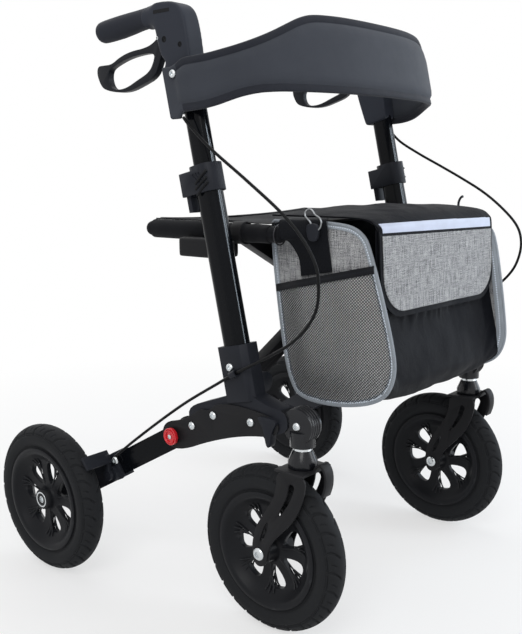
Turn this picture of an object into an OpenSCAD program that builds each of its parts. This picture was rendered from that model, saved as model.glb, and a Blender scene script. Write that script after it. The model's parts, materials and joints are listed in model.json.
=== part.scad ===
// All terrain rollator: two side frames on large air-tyred wheels, joined by a
// folding cross brace, with height-adjustable brake handles, a sling seat, a
// shopping bag and a padded band as backrest. The front faces -Y and +Z is up.
// Pieces are written for the left side, at +X, and mirrored for the right.

/* [Overall] */
// Length from the front of the bag to the back of the rear tyres
overall_l = 700; // [680:1:740]
// Distance between the front and rear axles, casters trailing
wheelbase = 417; // [400:1:430]
// Distance between the middle planes of the rear wheels
rear_track = 676; // [660:1:700]
// Distance between the posts of the two side frames
side_track = 500; // [490:1:520]
// Angle that the posts lean back
lean = 12.4; // [10:0.1:15]

/* [Wheels] */
// Diameter over the tread
wheel_d = 250; // [240:1:254]
// Width of the tyre
tyre_w = 44; // [40:1:46]
// Height of the tyre from its bead to the tread
tyre_h = 41; // [38:1:44]
// Width of the tyre at its bead
bead_w = 34; // [30:1:36]
// Number of spokes
spoke_count = 7; // [5:1:9]
// Width of a spoke at its middle
spoke_w = 13; // [9:0.5:18]
// Thickness of the spoked web
web_t = 24; // [18:1:30]
// Wall of the rim's barrel
rim_wall = 5; // [4:0.5:8]
// Height of the rim's flange beside the tyre
flange_h = 4; // [3:0.5:6]
// Diameter of the wheel hub
hub_d = 34; // [30:1:40]
// Diameter at the inner end of the windows
window_in_d = 72; // [60:1:84]
// Depth of the rim between its windows and its barrel
rim_ring = 11; // [8:1:15]
// Diameter of the wheel axles
axle_d = 12; // [10:0.5:14]
// Height of an axle's bolt head
axle_head = 4; // [3:0.5:6]

/* [Casters] */
// Distance that the front axle trails its stem
trail = 55; // [45:1:65]
// Gap between the tyre and the fork, at the top and the sides
fork_clear = 7; // [5:0.5:10]
// Thickness of the fork's plate
fork_t = 3.5; // [3:0.5:5]
// Diameter of the stem bolt
stem_d = 12; // [10:0.5:14]
// Height of the bell collar on the fork
bell_h = 25; // [20:1:30]
// Diameter at the foot of the bell collar
bell_d = 42; // [38:1:46]
// Gap between the collar and the socket, filled by the washer
head_gap = 5; // [4:0.5:8]
// Width of the bent guard in front of the fork
guard_w = 18; // [14:1:30]
// Thickness of the guard
guard_t = 4; // [3:0.5:5]

/* [Side frame] */
// Height of the post's foot in its sleeve
foot_z = 345; // [340:1:355]
// Distance of the post's foot behind the caster stem
foot_setback = 104; // [98:1:110]
// Diameter of the round nose above the caster
nose_d = 50; // [46:1:54]
// Diameter of the caster's socket
socket_d = 36; // [32:1:40]
// Width of the cast hub between its cheek plates
beam_w = 30; // [27:1:32]
// Thickness of a cheek plate
plate_t = 3; // [2.5:0.5:4]
// Depth of the post sleeve, fore and aft
sleeve_d = 58; // [54:1:62]
// Width of the post sleeve
sleeve_w = 38; // [36:1:40]
// Height of the post sleeve along the post
sleeve_h = 76; // [65:1:85]
// Distance from the button back to the rear axle
leg_back = 233; // [225:1:240]
// Height of the button above the rear axle
leg_rise = 137; // [130:1:142]
// Width of the rear leg
leg_w = 18; // [16:1:20]
// Height of the rear leg
leg_h = 36; // [32:1:40]
// Diameter of the frame bolts
bolt_d = 8; // [6:0.5:9]

/* [Post and handle] */
// Depth of the post tube, fore and aft
post_d = 42; // [40:1:44]
// Width of the post tube
post_w = 30; // [29:0.5:31]
// Wall of the post tube
post_wall = 2; // [1.5:0.25:2.5]
// Length of the post tube
post_l = 335; // [325:1:345]
// Length of the inner tube above the post
reach_l = 190; // [180:1:200]
// Length of the inner tube held in the post
held_l = 150; // [140:1:170]
// Height of the clamp collar
collar_h = 40; // [36:1:44]
// Wall of the clamp collar
collar_wall = 4.5; // [4:0.5:6]
// Diameter of the handgrip
grip_d = 33; // [28:1:34]
// Length of the handgrip
grip_l = 114; // [105:1:120]
// Slope of the handgrip down to the back
grip_slope = 5; // [3:0.5:8]
// Depth of the handle shell, fore and aft
shell_d = 100; // [96:1:104]
// Height of the handle shell
shell_h = 154; // [148:1:158]
// Width of the handle shell
shell_w = 34; // [33:0.5:36]
// Length of the brake lever's loop
lever_l = 150; // [140:1:155]
// Height of the brake lever's loop
lever_h = 70; // [64:1:74]
// Width of the brake lever
lever_w = 12; // [10:0.5:14]

/* [Seat and brace] */
// Height of the seat rails' middle
rail_z = 577; // [570:1:584]
// Distance between the seat rails
rail_track = 400; // [392:1:404]
// Diameter of a seat rail
rail_d = 24; // [22:1:25]
// Length of a seat rail
rail_l = 289; // [280:1:300]
// Distance of the rails' back end in front of the rear axle
rail_back = 115; // [105:1:120]
// Height of the brace's lower pivots
brace_z = 360; // [356:1:366]
// Distance between the brace's lower pivots
brace_track = 430; // [424:1:436]
// Width of a brace bar, fore and aft
brace_w = 20; // [18:0.5:20.5]
// Height of a brace bar
brace_h = 24; // [20:1:26]
// Diameter of the brace's pivot pins
pin_d = 12; // [10:0.5:13]
// Thickness of the seat's fabric
sling_t = 4; // [3:0.5:5]
// Thickness of the fabric sleeve around a rail
hem_t = 3; // [2.5:0.25:4]
// Depth of the seat's fabric, fore and aft
sling_l = 156; // [140:1:165]

/* [Bag and backrest] */
// Width of the bag
bag_w = 348; // [330:1:360]
// Depth of the bag, fore and aft
bag_d = 220; // [210:1:222]
// Height of the bag
bag_h = 268; // [250:1:280]
// Width of the bag's cover
flap_w = 344; // [342:1:347]
// Thickness of the bag's cover
flap_t = 4; // [3:0.5:6]
// Distance that the backrest bows forward of the posts
back_bow = 190; // [170:1:200]
// Height of the backrest at its ends
back_end_h = 76; // [70:1:84]
// Rise of the backrest's upper edge at its middle
back_crest = 63; // [50:1:70]
// Rise of the backrest's lower edge at its middle
back_rise = 28; // [20:1:34]
// Thickness of the padded backrest
back_t = 13; // [11:0.5:16]

/* [Hidden] */
$fn = 64;

// Clearances: running fits, fits within one body, gaps between moving pieces
run_fit = 0.05;
seat_fit = 0.1;
move_gap = 0.5;
// Overrun of the cuts
cut = 1;
// Share that each corner is cut back when an outline is rounded
corner_share = 0.25;
corner_rounds = 2;

// Colours as the object shows them
tube_black = "#14161b";
plate_grey = "#3a3a3a";
plastic_grey = "#3c3f47";
rubber_black = "#2d2e30";
rim_black = "#1d1e20";
bolt_silver = "#c8ccd0";
button_red = "#e0303a";
pad_grey = "#484a52";
cloth_grey = "#8d9096";
cloth_black = "#1c1d21";

// Places that the driving sizes give
wheel_r = wheel_d / 2;
side_x = side_track / 2;
rear_x = rear_track / 2;
rear_axle_y = overall_l / 2 - wheel_r;
front_axle_y = rear_axle_y - wheelbase;
stem_y = front_axle_y - trail;
foot_y = stem_y + foot_setback;
bag_front_y = -overall_l / 2;
bead_r = wheel_r - tyre_h;
axle_r = axle_d / 2;
tyre_wall = 5;
spoke_root_share = 1.3;
spoke_end_share = 1.8;
head_share = 1.6;

// Caster heights, from the tyre up
fork_under = wheel_d + fork_clear;
fork_top = fork_under + fork_t;
fork_h = fork_top - wheel_r;
bell_top = fork_top + bell_h;
socket_z = bell_top + head_gap;
fork_in = tyre_w / 2 + fork_clear;
fork_out = fork_in + fork_t;
front_hub_l = 2 * (fork_in - move_gap);
stem_r = stem_d / 2;
stem_l = 42;
washer_d = 26;
bell_neck_d = 28;
bell_foot_h = 9;
fork_top_l = 50;
guard_steps = 3;

// Side outline of the fork's leg, front edge first: along in shares of the trail
// from the axle, and up in shares of the fork's height above the axle
fork_shares = [
    [-1.53, 1], [-1.49, 0.79], [-1.22, 0.52], [-0.84, 0.35], [-0.44, 0.18], [-0.28, 0.03],
    [-0.24, -0.1], [0, -0.15], [0.2, -0.1], [0.24, 0.06], [0.17, 0.21], [0.05, 0.34],
    [-0.2, 0.48], [-0.47, 0.65], [-0.6, 0.79], [-0.62, 1]
];
upper_slot_shares = [
    [-1.2, 0.87], [-1, 0.89], [-0.95, 0.74], [-0.76, 0.59], [-0.62, 0.48], [-0.78, 0.53],
    [-1.03, 0.68], [-1.13, 0.77]
];
lower_slot_shares = [
    [-0.34, 0.4], [-0.22, 0.36], [-0.1, 0.25], [-0.02, 0.15], [-0.1, 0.15], [-0.2, 0.22],
    [-0.3, 0.31]
];
// Run of the bent guard in the same shares
guard_shares = [
    [-1.45, 0.985], [-1.53, 1.05], [-1.67, 1.08], [-1.8, 1], [-1.81, 0.87], [-1.72, 0.75]
];

// Hub and plates
sleeve_floor = 6;
sleeve_chamfer = 8;
nose_r = nose_d / 2;
nose_lead = -1;
nose_y = stem_y - nose_lead;
nose_rise = 30;
nose_z = socket_z + nose_rise;
nose_w = beam_w - 2 * plate_t;
beam_out = side_x + beam_w / 2;
beam_in = side_x - beam_w / 2;
plate_out = beam_out + seat_fit + plate_t;
plate_in = beam_in - seat_fit - plate_t;
// Outline of a cheek plate from the nose back to the button, in shares of the
// distance between them and of the nose's height above the button
plate_shares = [
    [0.12, 1.1], [0.42, 1.24], [0.62, 1.15], [0.68, 0.9], [0.76, 0.92], [0.86, 0.6],
    [0.95, 0.46], [1.08, 0.32], [1.12, -0.02], [1.06, -0.36], [0.92, -0.34], [0.68, 0.1],
    [0.4, 0.48], [0.12, 0.66]
];
// Bolts through both plates, in the same shares
plate_bolt_shares = [[0.33, 0.88], [0.64, 0.82], [0.83, 0.4]];
// Bolt on the sleeve, in shares of its depth and height
sleeve_bolt_shares = [0.06, 0.6];
// Web of the casting under the sleeve, in the same shares
web_shares = [
    [0.06, 1.3], [0.2, 1.35], [0.4, 1.62], [0.66, 1.2], [0.87, 0.9], [0.87, 0.48], [0.7, 0.5],
    [0.4, 0.62], [0.06, 0.7]
];
// Triangular gusset beside the nose, in shares of the nose's diameter
gusset_shares = [
    [0.5, 0.12], [1.24, 0.14], [1.2, -0.02], [1.02, -0.24], [0.94, -0.7], [0.8, -0.74],
    [0.74, -0.24]
];
gusset_t = 5;
button_y = rear_axle_y - leg_back;
button_z = wheel_r + leg_rise;
plate_size = [button_y - nose_y, nose_z - button_z];

// Rear leg, from the button to the axle
leg_tuck = 1;
leg_side = 41;
leg_start = [side_x - leg_tuck, button_y, button_z];
// The leg runs straight to the wheel, or further in where the brake arm needs the room
arm_room = 30;
arm_fore = 107;
leg_reach = leg_back / (leg_back - arm_fore);
leg_end = [
    min(
        rear_x - leg_side,
        leg_start[0] + (rear_x - tyre_w / 2 - arm_room - leg_start[0]) * leg_reach
    ),
    rear_axle_y, wheel_r
];
leg_run = leg_end - leg_start;
leg_yaw = atan2(leg_run[0], leg_run[1]);
leg_pitch = atan2(leg_run[2], norm([leg_run[0], leg_run[1]]));
leg_l = norm(leg_run);
leg_lap = 34;
leg_wall = 2.5;
bracket_wall = 4;
bracket_l = 136;
boss_d = 34;
boss_gap = 4;
boss_out = rear_x - tyre_w / 2 - boss_gap;
boss_in = leg_end[0] - leg_w / 2;
hub_inset = 2;
rear_hub_l = 2 * (tyre_w / 2 - axle_head - hub_inset);
rear_hub_in = rear_x - rear_hub_l / 2;
rear_hub_out = rear_x + rear_hub_l / 2;

// Brake arm and shoe on the tyre's front
shoe_angle = 142;
shoe_gap = 4;
shoe_t = 6;
shoe_l = 22;
shoe_w = 14;
shoe_r = wheel_r + shoe_gap;
arm_rise = 51;
arm_pivot = [rear_axle_y - arm_fore, wheel_r + arm_rise];
arm_d = 18;
arm_t = 8;
arm_pin_d = 8;
arm_gap = 4;
// Middle of the leg at the arm's pivot, and its bracket's outer face beside the arm
leg_at_arm = leg_end[0] - arm_fore * tan(leg_yaw);
arm_reach = arm_d / 2 + bracket_wall;
arm_in = leg_at_arm + (leg_w / 2 + bracket_wall) / cos(leg_yaw) + arm_reach * abs(tan(leg_yaw))
    + arm_gap;
arm_out = arm_in + arm_t;

// Button on the plate's rear end
button_d = 27;
button_head = 6;
button_travel = 4;
button_stem_d = 14;
button_stem_l = 16;
button_rim = 2;
button_dish = 1.5;

// Post, clamp and inner tube, along the post
tube_d = post_d - 2 * post_wall - 2 * move_gap;
tube_w = post_w - 2 * post_wall - 2 * move_gap;
tube_wall = 2;
collar_d = post_d + 2 * collar_wall;
collar_w = post_w + 2 * collar_wall;
collar_lip = 5;
collar_z = post_l + collar_lip - collar_h;
ear_l = 12;
ear_t = 6;
ear_h = 34;
clamp_pin_d = 5;
clamp_out = 6.5;
clamp_up = 13;
clamp_y = collar_d / 2 + clamp_out;
clamp_z = collar_z + clamp_up;
cam_d = 12;
clamp_w = collar_w - 2 * ear_t - 2 * move_gap;
clamp_tail = 36;
clamp_tail_t = 8;
rib_count = 3;
rib_w = 3;
rib_l = 22;
rib_depth = 1;
rib_turn = 40;

// Handle, around the top end of the inner tube
tube_top = post_l + reach_l;
elbow = [foot_y + tube_top * sin(lean), foot_z + tube_top * cos(lean)];
// Side outline of the shell from the grip over the top and down to the sleeve, in
// shares of its depth and height from the tube's top end
shell_shares = [
    [0.62, 0.335], [0.3, 0.335], [0.08, 0.325], [-0.08, 0.28], [-0.17, 0.19], [-0.23, 0.04],
    [-0.27, -0.13], [-0.4, -0.6], [-0.38, -0.64], [0.02, -0.71], [0.05, -0.7], [0.3, -0.26],
    [0.33, -0.14], [0.4, 0.03], [0.44, 0.115], [0.64, 0.115]
];
grip_shares = [0.65, 0.222];
grip_start = placed([grip_shares], [shell_d, shell_h], elbow)[0];
grip_bar_d = 20;
grip_round = 6;
lever_pivot_shares = [0.36, 0.01];
lever_pivot = placed([lever_pivot_shares], [shell_d, shell_h], elbow)[0];
lever_pin_d = 6;
lever_boss_d = 18;
lever_slot_share = 0.34;
lever_slot_h = lever_slot_share * shell_h;
// Outlines of the lever's loop in shares of its length and height from its pivot
lever_shares = [
    [-0.05, 0.06], [0.04, 0.12], [0.11, -0.03], [0.24, -0.13], [0.48, -0.16], [0.65, -0.25],
    [0.78, -0.38], [0.9, -0.38], [1, -0.38], [1.02, -0.56], [0.96, -0.82], [0.89, -0.92],
    [0.7, -1], [0.52, -1], [0.34, -0.9], [0.14, -0.76], [0.07, -0.54], [0.03, -0.34],
    [-0.04, -0.14]
];
lever_hole_shares = [
    [0.12, -0.26], [0.32, -0.25], [0.54, -0.3], [0.74, -0.42], [0.82, -0.5], [0.84, -0.68],
    [0.8, -0.88], [0.72, -0.94], [0.56, -0.92], [0.38, -0.77], [0.21, -0.64], [0.14, -0.44]
];
shell_screw_d = 7;
shell_screw_shares = [[0.02, -0.06], [-0.1, -0.3]];
strap_screw_d = 12;
strap_screw_l = 6;
screw_head = 3;
strap_drop = 55;
strap_at = tube_top - strap_drop;
strap_place = [foot_y + strap_at * sin(lean), foot_z + strap_at * cos(lean)];

// Scissor brace: the bars cross in the middle and hold the rails on their top ends
rail_x = rail_track / 2;
rail_r = rail_d / 2;
brace_x = brace_track / 2;
brace_angle = atan2(rail_z - brace_z, rail_x + brace_x);
brace_len = norm([rail_x + brace_x, rail_z - brace_z]);
cross_z = brace_z + (rail_z - brace_z) * brace_x / (rail_x + brace_x);
rail_back_y = rear_axle_y - rail_back;
rail_lap = 49;
rail_front_y = min(rail_back_y - rail_l, bag_front_y + bag_d - rail_lap);
brace_gap = 2;
brace_setback = 59;
brace_back_y = foot_y + brace_setback;
brace_mid_y = brace_back_y - brace_w - brace_gap;
brace_front_y = brace_mid_y - brace_w;
brace_eye_d = 28;
brace_collar_wall = 5;
brace_collar_d = rail_d + 2 * brace_collar_wall;
pin_out = 2;
lug_w = 24;
lug_d = 30;

// Seat, its sleeves on the rails, and the saddles that carry the rails
hem_d = rail_d + 2 * move_gap + 2 * hem_t;
sling_inset = 18;
sling_back_y = rail_back_y - sling_inset;
sling_clear = 12;
sling_front_y = max(sling_back_y - sling_l, bag_front_y + bag_d + sling_clear);
saddle_h = 30;
saddle_gap = 3;
saddle_front_y = brace_back_y + pin_out + saddle_gap;
saddle_l = 86;
saddle_t = 6.5;
saddle_drop = 8;
saddle_z = rail_z - saddle_drop;
saddle_lap = 3;
saddle_in = rail_x - hem_d / 2 + saddle_lap;
saddle_out = side_x - post_w / 2 - seat_fit;
saddle_arm_lap = 8;
saddle_arm_y = foot_y + (saddle_z - saddle_h - foot_z) * tan(lean) - saddle_arm_lap;

// Bag, hung between the rails by straps
bag_rise = 23;
bag_top_z = rail_z + bag_rise;
bag_wall = 4;
bag_back_y = bag_front_y + bag_d;
// Half width of the bag where it hangs between the rails, and the height where it starts
bag_gap = 6;
bag_neck = min(bag_w / 2, rail_x - rail_r - bag_gap);
bag_neck_z = rail_z - rail_r - bag_gap;
// Side outline of the bag in shares of its depth from the front and of its height
// down from the top
bag_shares = [
    [0.4, 0], [0.95, 0], [1, 0], [1, -0.03], [1, -0.14], [0.97, -0.4],
    [0.91, -0.74], [0.86, -0.9], [0.76, -1], [0.4, -1], [0.1, -0.93], [0, -0.8], [0, -0.66],
    [0.14, -0.13], [0.2, -0.04]
];
mouth_shares = [
    [0.4, 0.1], [0.95, 0.1], [1, 0.1], [1, -0.03], [1, -0.14], [0.97, -0.4],
    [0.91, -0.74], [0.86, -0.9], [0.76, -1], [0.4, -1], [0.1, -0.93], [0, -0.8], [0, -0.66],
    [0.14, -0.13], [0.2, -0.04]
];
strap_w = 26;
strap_t = 12;
strap_inset = 10;
// Run of the cover's middle over the top and down the front, in the same shares
flap_shares = [
    [1, 0.01], [0.7, 0.01], [0.4, 0.01], [0.24, -0.008], [0.16, -0.06], [0.122, -0.13],
    [0.08, -0.29], [0.038, -0.45]
];
flap_steps = 4;

// Backrest
back_lean = tan(lean);
back_gap = 3.5;
back_out = side_x + shell_w / 2 + back_gap + back_t / 2;
back_setback = 8;
back_end_y = elbow[0] - back_setback;
back_tail = 6;
back_drop = 110;
back_end_z = elbow[1] - back_drop;
// Rise of the edges along the band, from its middle out: shares of the half width
// and of the rise
back_crest_shares = [
    [0, 1], [0.35, 1], [0.5, 0.98], [0.57, 0.93], [0.65, 0.76], [0.75, 0.52], [0.87, 0.27],
    [0.97, 0.08], [1, 0]
];
back_rise_shares = [[0, 1], [0.76, 1], [0.86, 0.9], [0.93, 0.57], [0.98, 0.2], [1, 0]];
back_power = 2.4;
back_steps = 36;
back_sides = 14;
back_side_share = 0.7;
back_edge_share = 0.4;

// Brake cables: their routes from the backrest's end, round the front, past the clip on
// the sleeve and along the leg to the brake arm, chosen by hand for either side
cable_d = 4.5;
cable_sides = 8;
cable_steps = 4;
right_route = [
    [274, -52, 744], [274, -64, 732], [275, -107, 698], [277, -172, 656], [279, -234, 614],
    [281, -272, 580], [283, -294, 548], [284, -299, 520], [283, -294, 490], [281, -274, 462],
    [278, -242, 436], [274, -190, 407], [273, -140, 381], [273, -108, 362], [274, -45, 324],
    [277, 10, 286], [288, 66, 242], [298, 100, 212]
];
left_route = [
    [274, -52, 744], [275, -76, 720], [278, -116, 696], [281, -160, 673], [284, -203, 650],
    [286, -246, 625], [288, -282, 597], [290, -308, 569], [290, -318, 543], [290, -316, 515],
    [288, -304, 486], [285, -276, 456], [280, -234, 428], [275, -186, 404], [273, -140, 381],
    [273, -108, 362], [274, -45, 324], [277, 10, 286], [288, 66, 242], [298, 100, 212]
];
// Clip that holds the cable on the sleeve
clip_l = 12;
clip_wall = 2.5;
clip_play = 0.7;
clip_slope = 29;
clip_out = 4.5;
clip_fore = 3;
clip_up = 36;
cable_clip = [side_x + sleeve_w / 2 + clip_out, foot_y + clip_fore, foot_z + clip_up];

// Rounds a closed outline by cutting its corners
function cut_corners(p) = [
    for (i = [0 : len(p) - 1])
        let (a = p[i], b = p[(i + 1) % len(p)])
            each [a + (b - a) * corner_share, b + (a - b) * corner_share]
];
function rounded(p, rounds = corner_rounds) =
    rounds == 0 ? p : rounded(cut_corners(p), rounds - 1);
// Points of a table of shares, at their size and place
function placed(shares, size, place) =
    [for (s = shares) [place[0] + s[0] * size[0], place[1] + s[1] * size[1]]];
// A place on a cheek plate, from its shares
function on_plate(s) = [nose_y + s[0] * plate_size[0], button_z + s[1] * plate_size[1]];
// A band of one thickness that follows an open run of points
function across(p, i) =
    let (d = p[min(i + 1, len(p) - 1)] - p[max(i - 1, 0)], n = norm(d)) [-d[1] / n, d[0] / n];
function band(p, t) = concat(
    [for (i = [0 : len(p) - 1]) p[i] + across(p, i) * t / 2],
    [for (i = [len(p) - 1 : -1 : 0]) p[i] - across(p, i) * t / 2]
);
// A smooth run through the points of a route
function route_at(p, i, t) =
    let (a = p[max(i - 1, 0)], b = p[i], c = p[i + 1], d = p[min(i + 2, len(p) - 1)])
        b + (c - a) * t / 2 + (a * 2 - b * 5 + c * 4 - d) * t * t / 2
            + (b * 3 - a - c * 3 + d) * t * t * t / 2;
function route(p, steps) = concat(
    [for (i = [0 : len(p) - 2], k = [0 : steps - 1]) route_at(p, i, k / steps)],
    [p[len(p) - 1]]
);
function unit(v) = v / norm(v);
function power(v, e) = sign(v) * pow(abs(v), e);

// Faces of a closed tube of rings, each with the same number of points
function tube_faces(rings, sides) = concat(
    [for (i = [0 : rings - 2], j = [0 : sides - 1])
        let (k = (j + 1) % sides, a = i * sides, b = a + sides)
            each [[a + j, a + k, b + k], [a + j, b + k, b + j]]],
    [for (j = [1 : sides - 2]) [0, j + 1, j]],
    [for (j = [1 : sides - 2], a = (rings - 1) * sides) [a, a + j, a + j + 1]]
);

// A round tube along a run of points
module swept_tube(run, d, sides) {
    points = [
        for (i = [0 : len(run) - 1])
            let (
                along = unit(run[min(i + 1, len(run) - 1)] - run[max(i - 1, 0)]),
                u = unit(cross(along, [1, 0, 0])),
                v = cross(u, along)
            )
            for (j = [0 : sides - 1])
                run[i] + (u * cos(360 * j / sides) + v * sin(360 * j / sides)) * d / 2
    ];
    polyhedron(points, tube_faces(len(run), sides), convexity = 8);
}

// Shared shapes
module on_right() {
    mirror([1, 0, 0]) children();
}

// A side outline, in Y and Z, given a width from x0 to x1
module side_slab(p, x0, x1) {
    translate([x0, 0, 0]) rotate([90, 0, 90]) linear_extrude(x1 - x0) polygon(p);
}

module x_rod(x0, x1, at, d) {
    translate([x0, at[0], at[1]]) rotate([0, 90, 0]) cylinder(h = x1 - x0, d = d);
}

module y_rod(y0, y1, at, d) {
    translate([at[0], y0, at[1]]) rotate([-90, 0, 0]) cylinder(h = y1 - y0, d = d);
}

// Round-ended section of the tubes, w wide and d deep
module oval(d, w) {
    square([w, d - w], center = true);
    for (s = [-1, 1]) translate([0, s * (d - w) / 2]) circle(d = w);
}

// A rectangle with its corners cut off
module chamfered(w, d, c) {
    polygon([
        [-w / 2, c - d / 2], [c - w / 2, -d / 2], [w / 2 - c, -d / 2], [w / 2, c - d / 2],
        [w / 2, d / 2 - c], [w / 2 - c, d / 2], [c - w / 2, d / 2], [-w / 2, d / 2 - c]
    ]);
}

module post_frame() {
    translate([side_x, foot_y, foot_z]) rotate([-lean, 0, 0]) children();
}

module leg_frame() {
    translate(leg_start) rotate([0, 0, -leg_yaw]) rotate([leg_pitch, 0, 0]) children();
}

module wheel_frame(x, y) {
    translate([x, y, wheel_r]) rotate([0, 90, 0]) children();
}

// Wheels
module rim(hub_l) {
    rim_w = bead_w + 2 * flange_h;
    lip_r = bead_r + flange_h;
    lip_w = flange_h - seat_fit;
    seat_r = bead_r - seat_fit;
    window_r = seat_r - rim_wall - rim_ring;
    mid_r = (window_in_d / 2 + window_r) / 2;
    root_w = spoke_root_share * spoke_w;
    end_w = spoke_end_share * spoke_w;
    color(rim_black) difference() {
        rotate_extrude() {
            translate([axle_r + run_fit, -hub_l / 2])
                square([hub_d / 2 - axle_r - run_fit, hub_l]);
            translate([hub_d / 2 - rim_wall, -web_t / 2])
                square([seat_r - hub_d / 2, web_t]);
            translate([seat_r - rim_wall, -rim_w / 2]) square([rim_wall, rim_w]);
            for (y = [-rim_w / 2, rim_w / 2 - lip_w])
                translate([seat_r - rim_wall, y]) square([lip_r - seat_r + rim_wall, lip_w]);
        }
        difference() {
            translate([0, 0, -web_t / 2 - cut]) cylinder(h = web_t + 2 * cut, r = window_r);
            translate([0, 0, -web_t]) cylinder(h = 2 * web_t, d = window_in_d);
            for (i = [0 : spoke_count - 1]) rotate(360 * i / spoke_count)
                translate([0, 0, -web_t]) linear_extrude(2 * web_t) polygon([
                    [0, -root_w / 2], [window_in_d / 2, -root_w / 2], [mid_r, -spoke_w / 2],
                    [window_r + cut, -end_w / 2], [window_r + cut, end_w / 2],
                    [mid_r, spoke_w / 2], [window_in_d / 2, root_w / 2], [0, root_w / 2]
                ]);
        }
    }
}

module tyre() {
    crown_r = wheel_r - tyre_w / 2;
    hollow_w = bead_w - 2 * tyre_wall;
    color(rubber_black) difference() {
        rotate_extrude() {
            translate([bead_r, -bead_w / 2]) square([crown_r - bead_r, bead_w]);
            translate([crown_r, 0]) circle(d = tyre_w);
        }
        rotate_extrude() {
            translate([bead_r - cut, -hollow_w / 2]) square([crown_r - bead_r + cut, hollow_w]);
            translate([crown_r, 0]) circle(d = tyre_w - 2 * tyre_wall);
        }
        cylinder(h = 2 * tyre_w, r = bead_r, center = true);
    }
}

module front_rim() {
    wheel_frame(side_x, front_axle_y) rim(front_hub_l);
}

module front_tyre() {
    wheel_frame(side_x, front_axle_y) tyre();
}

module rear_rim() {
    wheel_frame(rear_x, rear_axle_y) rim(rear_hub_l);
}

module rear_tyre() {
    wheel_frame(rear_x, rear_axle_y) tyre();
}

// Casters
module fork() {
    axle = [front_axle_y, wheel_r];
    size = [trail, fork_h];
    top_y = stem_y - fork_top_l / 2;
    color(plate_grey) difference() {
        union() {
            for (x = [side_x - fork_out, side_x + fork_in])
                difference() {
                    side_slab(rounded(placed(fork_shares, size, axle)), x, x + fork_t);
                    for (slot = [upper_slot_shares, lower_slot_shares])
                        side_slab(rounded(placed(slot, size, axle)), x - cut, x + fork_t + cut);
                }
            translate([side_x - fork_out, top_y, fork_under])
                cube([2 * fork_out, fork_top_l, fork_t]);
            side_slab(
                band(route(placed(guard_shares, size, axle), guard_steps), guard_t),
                side_x - guard_w / 2, side_x + guard_w / 2
            );
        }
        x_rod(side_x - fork_out - cut, side_x + fork_out + cut, axle, axle_d + 2 * seat_fit);
        translate([side_x, stem_y, fork_under - cut])
            cylinder(h = fork_t + 2 * cut, r = stem_r + seat_fit);
    }
}

module caster_stem() {
    color(bolt_silver) translate([side_x, stem_y, 0]) rotate_extrude() polygon([
        [0, fork_under], [stem_r, fork_under], [stem_r, fork_top + seat_fit],
        [bell_d / 2, fork_top + seat_fit], [bell_d / 2, fork_top + bell_foot_h],
        [bell_neck_d / 2, bell_top], [washer_d / 2, bell_top],
        [washer_d / 2, socket_z - move_gap], [stem_r, socket_z - move_gap],
        [stem_r, socket_z + stem_l], [0, socket_z + stem_l]
    ]);
}

module front_axle() {
    at = [front_axle_y, wheel_r];
    head_d = head_share * axle_d;
    color(bolt_silver) {
        x_rod(side_x - fork_out - axle_head, side_x + fork_out + axle_head, at, axle_d);
        x_rod(side_x + fork_out, side_x + fork_out + axle_head, at, head_d);
        x_rod(side_x - fork_out - axle_head, side_x - fork_out, at, head_d);
    }
}

module rear_axle() {
    at = [rear_axle_y, wheel_r];
    color(bolt_silver) {
        x_rod(boss_in, rear_hub_out + move_gap + axle_head, at, axle_d);
        x_rod(boss_out, rear_hub_in - move_gap, at, head_share * axle_d);
        x_rod(rear_hub_out + move_gap, rear_hub_out + move_gap + axle_head, at, head_share * axle_d);
    }
}

// Side frame
module plate_bolt_holes(fit) {
    for (s = plate_bolt_shares)
        x_rod(plate_in - cut, plate_out + cut, on_plate(s), bolt_d + 2 * fit);
}

module hub() {
    nose = [nose_y, nose_z];
    lug_x = brace_x;
    clip_bore = cable_d + 2 * clip_play;
    color(plastic_grey) difference() {
        union() {
            post_frame() translate([0, 0, -sleeve_floor])
                linear_extrude(sleeve_h + sleeve_floor)
                    chamfered(sleeve_w, sleeve_d, sleeve_chamfer);
            side_slab(rounded(placed(web_shares, plate_size, [nose_y, button_z])), beam_in, beam_out);
            x_rod(side_x - nose_w / 2, side_x + nose_w / 2, nose, nose_d);
            translate([side_x, stem_y, socket_z]) cylinder(h = nose_rise - bolt_d, d = socket_d);
            side_slab(
                rounded(placed(gusset_shares, [nose_d, nose_d], nose)),
                beam_out - gusset_t, plate_out + gusset_t
            );
            y_rod(brace_front_y - pin_out - lug_w, brace_front_y - pin_out, [lug_x, brace_z], lug_d);
            translate([lug_x, brace_front_y - pin_out - lug_w, brace_z - lug_d / 2])
                cube([side_x - lug_x, lug_w, lug_d]);
            y_rod(brace_front_y - pin_out - lug_w, brace_back_y + pin_out, [lug_x, brace_z], pin_d);
            translate(cable_clip) rotate([-clip_slope, 0, 0])
                y_rod(-clip_l / 2, clip_l / 2, [0, 0], clip_bore + 2 * clip_wall);
        }
        translate(cable_clip) rotate([-clip_slope, 0, 0]) y_rod(-clip_l, clip_l, [0, 0], clip_bore);
        post_frame() linear_extrude(sleeve_h + cut)
            oval(post_d + 2 * seat_fit, post_w + 2 * seat_fit);
        translate([side_x, stem_y, socket_z - cut])
            cylinder(h = stem_l + cut + move_gap, r = stem_r + run_fit);
        plate_bolt_holes(seat_fit);
        side_slab(
            rounded(placed(plate_shares, plate_size, [nose_y, button_z])),
            beam_out, plate_out + seat_fit
        );
    }
}

module cheek_plates() {
    color(plate_grey) difference() {
        for (x = [plate_in, beam_out + seat_fit])
            side_slab(
                rounded(placed(plate_shares, plate_size, [nose_y, button_z])), x, x + plate_t
            );
        plate_bolt_holes(seat_fit);
        x_rod(
            beam_out - cut, plate_out + cut, [button_y, button_z], button_stem_d + 2 * seat_fit
        );
    }
}

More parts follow.
